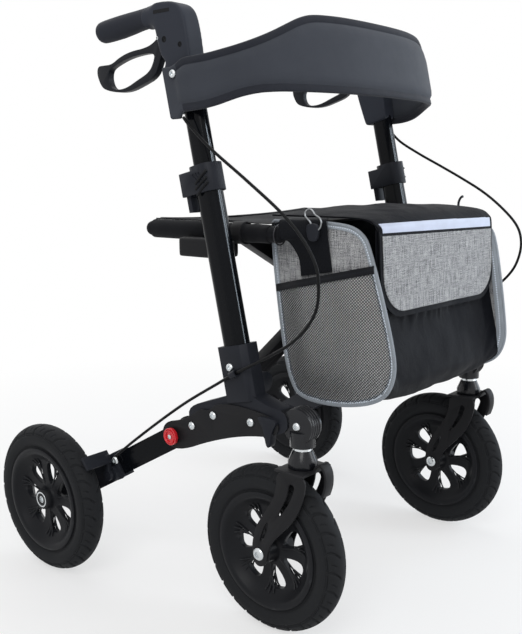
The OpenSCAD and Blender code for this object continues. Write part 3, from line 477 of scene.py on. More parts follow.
class Finish:
    """A material and its nodes, made with few words."""

    def __init__(self, name):
        self.material = bpy.data.materials.new(name)
        self.material.use_nodes = True
        self.tree = self.material.node_tree
        self.shader = self.tree.nodes["Principled BSDF"]

    def node(self, kind, inputs=None, **settings):
        made = self.tree.nodes.new("ShaderNode" + kind)
        for key, value in settings.items():
            setattr(made, key, value)
        for key, value in (inputs or {}).items():
            self.feed(made, key, value)
        return made

    def feed(self, node, key, value):
        if isinstance(value, bpy.types.NodeSocket):
            self.tree.links.new(value, node.inputs[key])
        else:
            node.inputs[key].default_value = value

    def shade(self, **inputs):
        for key, value in inputs.items():
            self.feed(self.shader, key.replace("_", " "), value)
        return self.material

    def place(self, output="Object", scale=(1, 1, 1)):
        coords = self.node("TexCoord")
        return self.node("Mapping", {"Vector": coords.outputs[output], "Scale": scale}).outputs["Vector"]

    def noise(self, at, scale, detail=3.0, rough=0.5):
        return self.node(
            "TexNoise", {"Vector": at, "Scale": scale, "Detail": detail, "Roughness": rough}
        ).outputs["Fac"]

    def math(self, kind, a, b=0.5, clamp=False):
        made = self.node("Math", operation=kind, use_clamp=clamp)
        for i, value in enumerate((a, b)):
            self.feed(made, i, value)
        return made.outputs[0]

    def span(self, value, low, high, to_low=0.0, to_high=1.0):
        return self.node("MapRange", {
            "Value": value, "From Min": low, "From Max": high, "To Min": to_low, "To Max": to_high,
        }).outputs["Result"]

    def mix(self, share, a, b):
        made = self.node("Mix", data_type="RGBA")
        self.feed(made, 0, share)
        for key, value in ((6, a), (7, b)):
            if not isinstance(value, bpy.types.NodeSocket):
                value = (*value[:3], 1)
            self.feed(made, key, value)
        return made.outputs[2]

    def bump(self, height, strength, depth, under=None):
        inputs = {"Height": height, "Strength": strength, "Distance": depth}
        if under:
            inputs["Normal"] = under
        return self.node("Bump", inputs).outputs["Normal"]

    def worn(self, low=0.52, high=0.6):
        """Share that is 1 on sharp outer edges."""
        return self.span(self.node("NewGeometry").outputs["Pointiness"], low, high)


def tinted(base, factor):
    return [min(c * factor, 1.0) for c in base]


def grained(name, base, rough=0.5, grain=900.0, depth=0.0001, wear=0.25, coat=0.0, patch=9.0, shine=0.12):
    """Moulded plastic, rubber or powder coat: fine grain, faint patches, paler edges."""
    f = Finish(name)
    at = f.place()
    fine = f.noise(at, grain, 2.0)
    broad = f.noise(at, patch, 4.0)
    body = f.mix(broad, tinted(base, 0.82), tinted(base, 1.2))
    edges = f.math("MULTIPLY", f.worn(), wear, True)
    return f.shade(
        Base_Color=f.mix(edges, body, tinted([c + 0.02 for c in base], 2.2)),
        Roughness=f.math(
            "ADD", f.span(broad, 0.3, 0.7, -0.06, 0.08), f.span(fine, 0, 1, rough - 0.05, rough + 0.05)
        ),
        Normal=f.bump(fine, 0.35, depth),
        Specular_IOR_Level=shine, Coat_Weight=coat, Coat_Roughness=0.25,
    )


def lacquered(name, base):
    """Gloss lacquer with a trace of orange peel and dust."""
    f = Finish(name)
    at = f.place()
    peel = f.noise(at, 160.0, 2.0)
    dust = f.span(f.noise(at, 1400.0, 1.0), 0.62, 0.8)
    return f.shade(
        Base_Color=f.mix(f.math("MULTIPLY", dust, 0.15), base, (0.12, 0.13, 0.15)),
        Roughness=f.span(f.noise(at, 14.0, 4.0), 0.3, 0.7, 0.1, 0.2),
        Normal=f.bump(peel, 0.06, 0.0004),
        Specular_IOR_Level=0.1,
    )


def zinced(name, base, rough=0.24):
    """Bright zinc with fine turning marks and dull spots."""
    f = Finish(name)
    at = f.place()
    marks = f.noise(at, 700.0, 3.0, 0.7)
    return f.shade(
        Base_Color=f.mix(f.noise(at, 60.0, 3.0), tinted(base, 0.8), tinted(base, 1.05)),
        Metallic=1.0,
        Roughness=f.span(marks, 0.2, 0.8, rough - 0.08, rough + 0.14),
        Normal=f.bump(marks, 0.12, 0.0001),
    )


def glossed(name, base):
    """Bright moulded plastic."""
    f = Finish(name)
    at = f.place()
    return f.shade(
        Base_Color=f.mix(f.noise(at, 30.0, 3.0), tinted(base, 0.88), tinted(base, 1.08)),
        Roughness=f.span(f.noise(at, 250.0, 3.0), 0.3, 0.7, 0.22, 0.36),
        Normal=f.bump(f.noise(at, 900.0), 0.1, 0.0001),
        Coat_Weight=0.3, Coat_Roughness=0.1,
    )


def woven(name, base, pitch, depth, rough, sheen, output="UV", crease=0.0, shine=0.15):
    """Plain weave: two sets of threads that pass over and under each other, with painted shade where they
    meet.
    """
    f = Finish(name)
    turns = 2 * math.pi / pitch
    at = f.place(output)
    split = f.node("SeparateXYZ", {"Vector": at})
    wave = [f.math("SINE", f.math("MULTIPLY", split.outputs[i], turns / 2)) for i in (0, 1)]
    over = f.math("MULTIPLY", *wave)
    thread = f.math("ABSOLUTE", over)
    streak = f.noise(f.place(output, (90, 700, 90)), 1.0, 2.0)
    cross = f.noise(f.place(output, (700, 90, 90)), 1.0, 2.0)
    broad = f.noise(f.place(), 14.0, 4.0)
    tone = f.math("ADD", f.math("MULTIPLY", streak, 0.5), f.math("MULTIPLY", cross, 0.5))
    dark = f.mix(f.span(tone, 0.3, 0.7), tinted(base, 0.66), tinted(base, 1.4))
    # Darker along the lines where neighbouring threads meet: painted shade between the threads.
    shade = f.mix(f.span(thread, 0.0, 0.8), tinted(base, 0.4), dark)
    normal = f.bump(f.span(over, -1, 1), 0.5, depth)
    if crease:
        normal = f.bump(f.noise(f.place(), 26.0, 4.0, 0.55), 0.45, crease, normal)
    return f.shade(
        Base_Color=f.mix(f.span(broad, 0.3, 0.7, 0.0, 0.3), shade, tinted(base, 1.25)),
        Roughness=f.span(broad, 0.3, 0.7, rough - 0.07, rough + 0.06),
        Normal=normal, Sheen_Weight=sheen, Sheen_Roughness=0.45, Specular_IOR_Level=shine,
    )


def heathered(name, light, dark):
    """Heather cloth: slubby pale and dark threads in both directions, with painted shade between them."""
    f = Finish(name)
    pitch = 0.0016
    split = f.node("SeparateXYZ", {"Vector": f.place("UV")})
    wave = [f.math("SINE", f.math("MULTIPLY", split.outputs[i], math.pi / pitch)) for i in (0, 1)]
    over = f.math("MULTIPLY", *wave)
    warp = f.noise(f.place("UV", (620, 42, 1)), 1.0, 3.0, 0.6)
    weft = f.noise(f.place("UV", (42, 620, 1)), 1.0, 3.0, 0.6)
    fleck = f.noise(f.place("UV", (520, 520, 1)), 1.0, 2.0, 0.6)
    front = f.mix(f.span(over, -0.6, 0.1), weft, warp)
    tone = f.math("ADD", f.math("MULTIPLY", front, 0.7), f.math("MULTIPLY", fleck, 0.3))
    shade = f.mix(f.span(tone, 0.38, 0.6), dark, light)
    # Darker in the gaps between the threads: painted shade.
    gap = f.span(f.math("ABSOLUTE", over), 0.0, 0.22)
    broad = f.noise(f.place("UV", (9, 9, 1)), 1.0, 3.0)
    return f.shade(
        Base_Color=f.mix(gap, tinted(dark, 0.7), shade),
        Roughness=f.span(broad, 0.3, 0.7, 0.82, 0.95),
        Normal=f.bump(f.math("ABSOLUTE", over), 0.5, 0.0003),
        Sheen_Weight=0.08, Sheen_Roughness=0.5, Specular_IOR_Level=0.15,
    )


def taped(name, base, stitch, pitch=0.004):
    """Woven binding tape: ribs across and a row of stitches along its middle."""
    f = Finish(name)
    split = f.node("SeparateXYZ", {"Vector": f.place("UV")})
    u, v = split.outputs[0], split.outputs[1]
    rib = f.math("SINE", f.math("MULTIPLY", u, 2 * math.pi / 0.0014))
    dash = f.math("GREATER_THAN", f.math("SINE", f.math("MULTIPLY", u, 2 * math.pi / pitch)), -0.25)
    row = f.math("LESS_THAN", f.math("ABSOLUTE", f.math("SUBTRACT", v, 0.5)), 0.09)
    thread = f.math("MULTIPLY", dash, row)
    broad = f.noise(f.place("UV", (40, 1, 1)), 1.0, 3.0)
    body = f.mix(broad, tinted(base, 0.75), tinted(base, 1.25))
    ribbed = f.mix(f.span(rib, -1, 1, 0.0, 0.35), body, tinted(base, 0.55))
    return f.shade(
        Base_Color=f.mix(thread, ribbed, stitch),
        Roughness=f.span(broad, 0.3, 0.7, 0.7, 0.85),
        Normal=f.bump(f.math("ADD", f.span(rib, -1, 1), f.math("MULTIPLY", thread, 1.6)), 0.4, 0.0003),
        Sheen_Weight=0.1, Sheen_Roughness=0.5, Specular_IOR_Level=0.2,
    )


def beaded(name, base):
    """Reflective strip: a smooth film with fine glass beads under it."""
    f = Finish(name)
    at = f.place("UV", (1500, 1500, 1))
    beads = f.node("TexVoronoi", {"Vector": at, "Scale": 1.0}).outputs["Distance"]
    broad = f.noise(f.place(), 30.0, 3.0)
    return f.shade(
        Base_Color=f.mix(f.span(broad, 0.3, 0.7), tinted(base, 0.9), tinted(base, 1.04)),
        Roughness=f.span(beads, 0.0, 0.8, 0.3, 0.5),
        Normal=f.bump(beads, 0.15, 0.0001),
        Coat_Weight=0.2, Coat_Roughness=0.2,
    )


def padded_cloth(name, base):
    """Brushed padded cloth: a matt nap over foam, with faint broad shading."""
    f = Finish(name)
    at = f.place()
    nap = f.noise(at, 1500.0, 2.0)
    broad = f.noise(at, 11.0, 4.0)
    soft = f.noise(at, 60.0, 3.0)
    return f.shade(
        Base_Color=f.mix(f.math("ADD", f.math("MULTIPLY", nap, 0.4), f.math("MULTIPLY", broad, 0.6)),
                         tinted(base, 0.78), tinted(base, 1.22)),
        Roughness=f.span(soft, 0.3, 0.7, 0.8, 0.92),
        Normal=f.bump(nap, 0.25, 0.0002, f.bump(soft, 0.2, 0.0006)),
        Sheen_Weight=0.12, Sheen_Roughness=0.5, Specular_IOR_Level=0.15,
    )


FINISHES = {}


def make_finishes():
    c = colours()
    FINISHES.update(
        tube=lacquered("gloss_tube", c.tube),
        plate=grained("matt_plate", c.plate, 0.5, 1500.0, 0.00012, 0.3),
        moulding=grained("slate_moulding", c.moulding, 0.46, 1100.0, 0.0001, 0.2),
        nose=grained("gloss_boss", tinted(c.moulding, 0.45), 0.28, 700.0, 0.00006, 0.15, 0.4),
        handle=grained("handle_shell", c.handle, 0.5, 1300.0, 0.00008, 0.12),
        # Near-black finish for the handle's screw recesses and slot and the collar's ribs: painted shade
        # in hollows.
        recess=grained("dark_recess", tinted(c.handle, 0.1), 0.6, shine=0.1),
        grip=grained("grip_rubber", c.grip, 0.62, 1000.0, 0.0002, 0.1),
        lever=grained("lever_plastic", tinted(c.moulding, 0.75), 0.4, 1000.0, 0.00008, 0.3),
        rim=grained("rim_moulding", c.rim, 0.42, 900.0, 0.00008, 0.22),
        tyre=grained("tyre_rubber", c.tyre, 0.68, 700.0, 0.0003, 0.12, patch=18.0),
        bolt=zinced("zinc_bolt", c.bolt),
        dark_steel=zinced("dark_steel", (0.05, 0.05, 0.055), 0.3),
        hook=zinced("hook_steel", (0.28, 0.29, 0.3), 0.3),
        button=glossed("red_button", c.button),
        cable=grained("cable_sheath", c.cable, 0.4, 600.0, 0.00005, 0.0),
        seat=woven("seat_weave", c.seat_cloth, 0.0014, 0.0003, 0.86, 0.06),
        rail=woven("rail_sleeve", c.seat_cloth, 0.0014, 0.0003, 0.84, 0.06, "Object"),
        bag=woven("bag_nylon", c.bag_black, 0.0009, 0.00015, 0.65, 0.03, crease=0.004, shine=0.07),
        webbing=woven("strap_webbing", tinted(c.bag_black, 0.9), 0.0022, 0.0005, 0.8, 0.05),
        net=grained("net_strand", tinted(c.bag_black, 0.8), 0.7, 900.0, wear=0.0, shine=0.1),
        heather=heathered("heather_cloth", c.heather_light, c.heather_dark),
        lining=padded_cloth("pocket_lining", tinted(c.heather_light, 1.25)),
        tape=taped("binding_tape", c.piping, tinted(c.piping, 2.0)),
        piping=woven("piping_cloth", c.piping, 0.0016, 0.0003, 0.7, 0.2),
        elastic=taped("elastic_band", tinted(c.bag_black, 0.8), tinted(c.bag_black, 1.6)),
        strip=beaded("reflective_strip", c.strip),
        pad=padded_cloth("pad_panel", c.pad),
        pad_edge=padded_cloth("pad_binding", c.pad_edge),
    )


# Stage

PICTURE = (522, 634)
CAMERA_AT = Vector((-1.1417, -0.9328, 0.6708))
CAMERA_YAW, CAMERA_PITCH, CAMERA_ROLL = 49.57, 9.98, -0.57
CAMERA_FOCUS = 842.6
SENSOR = 36.0
FLOOR_SIZE, FLOOR_Z = 14, -0.0005
LIGHTS = (
    ("key_light", (-2.2, -1.2, 2.4), (0, 0, 0.45), 37, 1.6, 1.6),
    ("right_light", (1.5, -2.3, 1.4), (0, -0.1, 0.5), 32, 0.8, 2.4, (0.9, 0.95, 1.0)),
    ("side_light", (2.3, -1.0, 1.1), (0, -0.1, 0.5), 16, 1.0, 2.2, (0.7, 0.84, 1.0)),
    ("top_light", (0.2, 0.4, 2.9), (0, 0, 0.4), 18, 2.4, 2.4),
    ("back_light", (0.6, 2.6, 1.6), (0, 0, 0.5), 14, 1.6, 2.0),
)
TUBE_LIGHTS = (
    ("gloss_band", (0.67, -2.6, 1.5), (0, -0.1, 0.5), 200, 0.6, 2.8, (0.76, 0.88, 1.0)),
    ("gloss_edge", (1.65, -2.1, 1.0), (0, -0.1, 0.5), 80, 0.25, 2.8, (0.76, 0.88, 1.0)),
)


def soft_light(name, at, aim, power, width, height, tint=(1, 1, 1)):
    data = bpy.data.lights.new(name, "AREA")
    data.shape = "RECTANGLE"
    data.size, data.size_y, data.energy, data.color = width, height, power, tint
    lamp = bpy.data.objects.new(name, data)
    lamp.location = at
    lamp.rotation_euler = (Vector(aim) - Vector(at)).to_track_quat("-Z", "Y").to_euler()
    bpy.context.scene.collection.objects.link(lamp)
    return lamp


def seen_white(tree, lit, out, share=None):
    """Shows plain white, or a share of it, to the camera and in mirrors, and lights by another shader."""
    path = tree.nodes.new("ShaderNodeLightPath")
    kind = "Emission" if out.bl_idname.endswith("Material") else "Background"
    white = tree.nodes.new(f"ShaderNode{kind}")
    white.inputs["Strength"].default_value = 1.0
    white.inputs["Color"].default_value = (1, 1, 1, 1)
    total = path.outputs["Is Camera Ray"]
    for key in ("Is Glossy Ray", "Is Transmission Ray"):
        added = tree.nodes.new("ShaderNodeMath")
        added.operation = "MAXIMUM"
        tree.links.new(total, added.inputs[0])
        tree.links.new(path.outputs[key], added.inputs[1])
        total = added.outputs[0]
    if share:
        part = tree.nodes.new("ShaderNodeMath")
        part.operation = "MULTIPLY"
        tree.links.new(total, part.inputs[0])
        tree.links.new(share, part.inputs[1])
        total = part.outputs[0]
    mixed = tree.nodes.new("ShaderNodeMixShader")
    tree.links.new(total, mixed.inputs[0])
    tree.links.new(lit, mixed.inputs[1])
    tree.links.new(white.outputs[0], mixed.inputs[2])
    tree.links.new(mixed.outputs[0], out.inputs["Surface"])


class ROLLATOR_OT_stage(bpy.types.Operator):
    """Set up camera, soft lights, pale floor and white surroundings"""
    bl_idname = "rollator.stage"
    bl_label = "Stage"

    def execute(self, context):
        scene = context.scene
        scene.view_settings.view_transform = "Standard"
        data = bpy.data.cameras.new("photo_camera")
        data.sensor_width = SENSOR
        data.lens = SENSOR * CAMERA_FOCUS / max(PICTURE)
        camera = bpy.data.objects.new("photo_camera", data)
        scene.collection.objects.link(camera)
        turn = (
            Matrix.Rotation(math.radians(-CAMERA_YAW), 4, "Z")
            @ Matrix.Rotation(math.radians(90 - CAMERA_PITCH), 4, "X")
            @ Matrix.Rotation(math.radians(CAMERA_ROLL), 4, "Z")
        )
        camera.matrix_world = Matrix.Translation(CAMERA_AT) @ turn
        scene.camera = camera

        world = bpy.data.worlds.new("studio")
        scene.world = world
        world.use_nodes = True
        tree = world.node_tree
        glow = tree.nodes["Background"]
        glow.inputs["Color"].default_value = (0.96, 0.98, 1.0, 1)
        glow.inputs["Strength"].default_value = 0.34
        seen_white(tree, glow.outputs[0], tree.nodes["World Output"])

        take()
        bpy.ops.mesh.primitive_plane_add(size=FLOOR_SIZE, location=(0, 0, FLOOR_Z))
        floor = newest("studio_floor")
        settle(floor)
        paint = Finish("pale_floor")
        speck = paint.noise(paint.place(), 3.0)
        paint.shade(
            Base_Color=paint.mix(speck, (0.9, 0.9, 0.9), (0.93, 0.93, 0.93)), Roughness=0.9,
        )
        split = paint.node("SeparateXYZ", {"Vector": paint.place()})
        away = paint.math("SQRT", paint.math(
            "ADD", *(paint.math("POWER", split.outputs[i], 2.0) for i in (0, 1))
        ))
        seen_white(
            paint.tree, paint.shader.outputs[0], paint.tree.nodes["Material Output"],
            paint.span(away, 0.5, 1.6, 0.6, 1.0),
        )
        painted(floor, paint.material)

        for light in LIGHTS:
            soft_light(*light)
        tubes = bpy.data.collections.new("lacquered_tubes")
        for light in TUBE_LIGHTS:
            lamp = soft_light(*light)
            lamp.visible_diffuse = False
            lamp.light_linking.receiver_collection = tubes
        return {"FINISHED"}


# Cables

CABLE_D = 4.5 * MM
CABLE_ROUTES = {
    "right": [
        (274, -52, 744), (274, -64, 732), (275, -107, 698), (277, -172, 656), (279, -234, 614),
        (281, -272, 580), (283, -294, 548), (284, -299, 520), (283, -294, 490), (281, -274, 462),
        (278, -242, 436), (274, -190, 407), (273, -140, 381), (273, -108, 362), (274, -45, 324),
        (277, 10, 286), (288, 66, 242), (298, 100, 212),
    ],
    "left": [
        (274, -52, 744), (275, -76, 720), (278, -116, 696), (281, -160, 673), (284, -203, 650),
        (286, -246, 625), (288, -282, 597), (290, -308, 569), (290, -318, 543), (290, -316, 515),
        (288, -304, 486), (285, -276, 456), (280, -234, 428), (275, -186, 404), (273, -140, 381),
        (273, -108, 362), (274, -45, 324), (277, 10, 286), (288, 66, 242), (298, 100, 212),
    ],
}


class ROLLATOR_OT_cables(bpy.types.Operator):
    """Lay both brake cables from the handles to the brake arms"""
    bl_idname = "rollator.cables"
    bl_label = "Brake cables"

    def execute(self, context):
        for side, sign in SIDES.items():
            points = [Vector((sign * x, y, z)) * MM for x, y, z in CABLE_ROUTES[side]]
            run = routed(points, 8)
            cable = rod(f"{side}_cable_sheath", run, CABLE_D, 12, finish=FINISHES["cable"])
            length = length_of(run)
            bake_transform(cable)
            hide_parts(f"{side}_brake_cable")
        return {"FINISHED"}


# Wheels

TREAD_STEPS = 720
WHEEL_R, TYRE_W, CROWN_R, BEAD_R, BEAD_W = 125.0, 44.0, 103.0, 84.0, 34.0
RIM_STEPS = 112


def wheel_centre(wheel):
    low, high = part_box(f"{wheel}_tyre")
    return (low + high) / 2


def tyre_profile():
    """Section of a tyre: bead, side wall with two ridges, and round tread."""
    half = TYRE_W / 2
    side = [
        (BEAD_W / 2, BEAD_R), (BEAD_W / 2, 88.5), (16.6, 90.2), (18.3, 92.2), (19.3, 93.0), (19.7, 94.6),
    ]
    tread = []
    count = 54
    low = math.asin((97.0 - CROWN_R) / half)
    for k in range(count + 1):
        a = low + (math.pi - 2 * low) * k / count
        tread.append((half * math.cos(a), CROWN_R + half * math.sin(a)))
    return side + tread + [(-a, r) for a, r in reversed(side)]


def tread_cut(turn, tilt, blocks, depth):
    """Depth of the tread's grooves at a place: round the wheel, and across it from the crown."""
    at = abs(tilt)
    if at > 78:
        return 0.0
    phase = turn * blocks / (2 * math.pi) + (0.5 if tilt > 0 else 0.0)
    bend = 0.34 * math.sin(math.radians(at * 2.1)) + 0.004 * at
    share = (phase + bend) % 1.0
    pitch = 2 * math.pi * WHEEL_R / blocks
    off = abs(share - 0.5) * pitch
    width = 1.5 + 0.02 * at
    hook = max(0.0, 1 - (off / width) ** 4) * ease((at - 7) / 6) * ease((74 - at) / 10)
    short = abs((share + 0.42) % 1.0 - 0.5) * pitch
    sipe = 0.7 * max(0.0, 1 - (short / 1.1) ** 4) * ease((at - 24) / 5) * ease((52 - at) / 6)
    ring = 0.6 * max(0.0, 1 - ((at - 62) / 2.6) ** 4) + 0.45 * max(0.0, 1 - ((at - 70) / 1.8) ** 4)
    return depth * min(1.0, max(hook, sipe, ring))


class ROLLATOR_OT_tyres(bpy.types.Operator):
    """Cut the four tyres with their curved tread blocks"""
    bl_idname = "rollator.tyres"
    bl_label = "Tyres"

    def execute(self, context):
        s = sizes()
        model = spun("tyre_model", [(a * MM, r * MM) for a, r in tyre_profile()], TREAD_STEPS)
        centre = Vector((0, CROWN_R * MM))
        for v in model.data.vertices:
            radial = Vector((0, v.co.y, v.co.z))
            r = radial.length
            off = Vector((v.co.x, r)) - centre
            if r < 95 * MM:
                continue
            tilt = math.degrees(math.atan2(off.x, off.y))
            sunk = tread_cut(math.atan2(v.co.z, v.co.y), tilt, s.tread_blocks, s.tread_depth)
            if sunk:
                inward = off.normalized() * sunk
                v.co.x -= inward.x
                v.co -= radial.normalized() * inward.y
        smooth(model, 60)
        painted(model, FINISHES["tyre"])
        for wheel in WHEELS:
            tyre = copied(model, f"{wheel}_tread", Matrix.Translation(wheel_centre(wheel)))
            dressed(tyre, f"{wheel}_wheel", "tyre", f"{wheel}_tyre")
        drop(model)
        return {"FINISHED"}


def rim_profile(hub):
    """Half section of a rim: hub tube, web, dish, flange and tyre seat."""
    half = [
        (hub, 6.05), (hub, 15.2), (hub - 1.6, 17.0), (11.0, 17.6), (7.4, 18.8), (5.0, 22.0), (4.2, 27.0),
        (3.8, 40.0), (3.8, 56.0), (4.6, 61.0), (6.6, 64.8), (10.0, 69.0), (14.2, 73.4), (17.6, 76.4),
        (19.6, 78.4), (20.7, 80.6), (21.0, 83.0), (21.0, 86.8), (20.2, 87.9), (18.0, 88.0), (17.2, 87.2),
        (17.2, 83.8),
    ]
    return half + [(-a, r) for a, r in reversed(half)]


def window_outline(count):
    """Outline of one opening between two spokes, in the wheel's plane."""
    step = math.pi / count
    pairs = []
    for r, half in ((25.0, 9.6), (32.0, 8.0), (42.0, 7.2), (52.0, 8.0), (59.0, 12.0)):
        pairs.append((r, step - math.asin(half / r)))
    ring = [(r, a) for r, a in pairs] + [(62.5, pairs[-1][1] * 0.5), (62.5, -pairs[-1][1] * 0.5)]
    ring += [(r, -a) for r, a in reversed(pairs)]
    return rounds([Vector((r * MM * math.cos(a), r * MM * math.sin(a))) for r, a in ring], 3)


class ROLLATOR_OT_rims(bpy.types.Operator):
    """Mould the four rims with seven spokes, bearings and valves"""
    bl_idname = "rollator.rims"
    bl_label = "Rims"

    spokes: IntProperty(name="Spokes", description="Spokes of a rim", default=7, min=5, max=9)

    def execute(self, context):
        for end in ("front", "rear"):
            low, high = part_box(f"right_{end}_rim")
            hub = (high.x - low.x) / 2 / MM
            model = spun("rim_model", [(a * MM, r * MM) for a, r in rim_profile(hub)], RIM_STEPS)
            cutter = flat_piece("window_cutter", window_outline(self.spokes), (-0.03, 0.03))
            cutters = [
                copied(cutter, "cut", Matrix.Rotation(2 * math.pi * k / self.spokes, 4, "X"))
                for k in range(self.spokes)
            ]
            drop(cutter)
            cutter = joined("window_cutter", cutters)
            modified(model, "BOOLEAN", object=cutter, operation="DIFFERENCE", solver="EXACT")
            drop(cutter)
            modified(
                model, "BEVEL", width=0.0016, segments=2, limit_method="ANGLE",
                angle_limit=math.radians(50), use_clamp_overlap=True
            )
            parts = [smooth(model, 45)]
            for rib in self.ribs():
                for k in range(self.spokes):
                    for face in (0, math.pi):
                        turn = Matrix.Rotation(2 * math.pi * (k + 0.5) / self.spokes, 4, "X")
                        parts.append(copied(rib, "rib", turn @ Matrix.Rotation(face, 4, "Z")))
                drop(rib)
            model = joined("rim_model", parts)
            painted(model, FINISHES["rim"])
            ring = self.bearing(hub)
            valve = self.valve()
            for side, sign in SIDES.items():
                wheel = f"{side}_{end}"
                at = Matrix.Translation(wheel_centre(wheel))
                rim = copied(model, f"{wheel}_spokes", at)
                dressed(rim, f"{wheel}_wheel", "rim", f"{wheel}_rim")
                dressed(copied(ring, f"{wheel}_bearing", at), f"{wheel}_wheel", "bolt")
                turn = Matrix.Rotation(2 * math.pi * (0 if end == "front" else 2) / self.spokes, 4, "X")
                stem = copied(valve, f"{wheel}_valve", at @ turn @ Matrix.Diagonal((sign, 1, 1, 1)))
                dressed(stem, f"{wheel}_wheel", "bolt")
            for o in (model, ring, valve):
                drop(o)
        return {"FINISHED"}

    def ribs(self):
        """Thin ridges that run out along a spoke and part towards the flange."""
        made = []
        for lines in (
            [(4.6, 0, 20), (4.6, 0, 44), (5.6, 0, 58), (10.6, 0, 69.2)],
            [(4.4, 0.6, 44), (5.4, 4.6, 58.5), (9.6, 8.4, 67.2)],
            [(4.4, -0.6, 44), (5.4, -4.6, 58.5), (9.6, -8.4, 67.2)],
        ):
            run = routed([Vector(p) * MM for p in lines], 4)
            made.append(rod("spoke_rib", run, 0.0026, 6))
        return made

    def bearing(self, hub):
        """Bright bearing rings at both ends of the hub."""
        out = hub - 0.4
        profile = [(out - 2.5, 10.6), (out - 2.5, 13.4), (out + 0.1, 13.4), (out + 0.5, 13.0),
                   (out + 0.5, 11.0), (out + 0.1, 10.6)]
        rings = [
            spun("ring", [(face * a * MM, r * MM) for a, r in profile], 40) for face in (-1, 1)
        ]
        ring = joined("bearing_model", rings)
        smooth(ring, 35)
        return painted(ring, FINISHES["bolt"])

    def valve(self):
        """A tyre valve that stands in through a window."""
        profile = [
            (0, 3.2), (0, 4.6), (3, 4.6), (4.5, 3.2), (15, 3.0), (15.4, 3.9), (23, 3.9), (24, 3.0),
            (24, 0.4), (0, 0.4),
        ]
        stem = spun("valve_model", [(a * MM, r * MM) for a, r in profile], 20)
        stem.data.transform(
            Matrix.Translation((0.004, 0, 0.0795)) @ Matrix.Rotation(math.radians(14), 4, "Y")
            @ Matrix.Rotation(math.radians(90), 4, "Y")
        )
        smooth(stem, 40)
        return painted(stem, FINISHES["dark_steel"])


# Frame

SIDE_X = 0.25
AXIS_Y, AXIS_Z = Vector((0, 1, 0)), Vector((0, 0, 1))
BOSS_RINGS = (-0.0075, -0.0025, 0.0025, 0.0075)
COLLAR_RIBS = (((-69, 650), (-90, 670)), ((-69, 642), (-90, 660)), ((-72, 634), (-93, 654)))


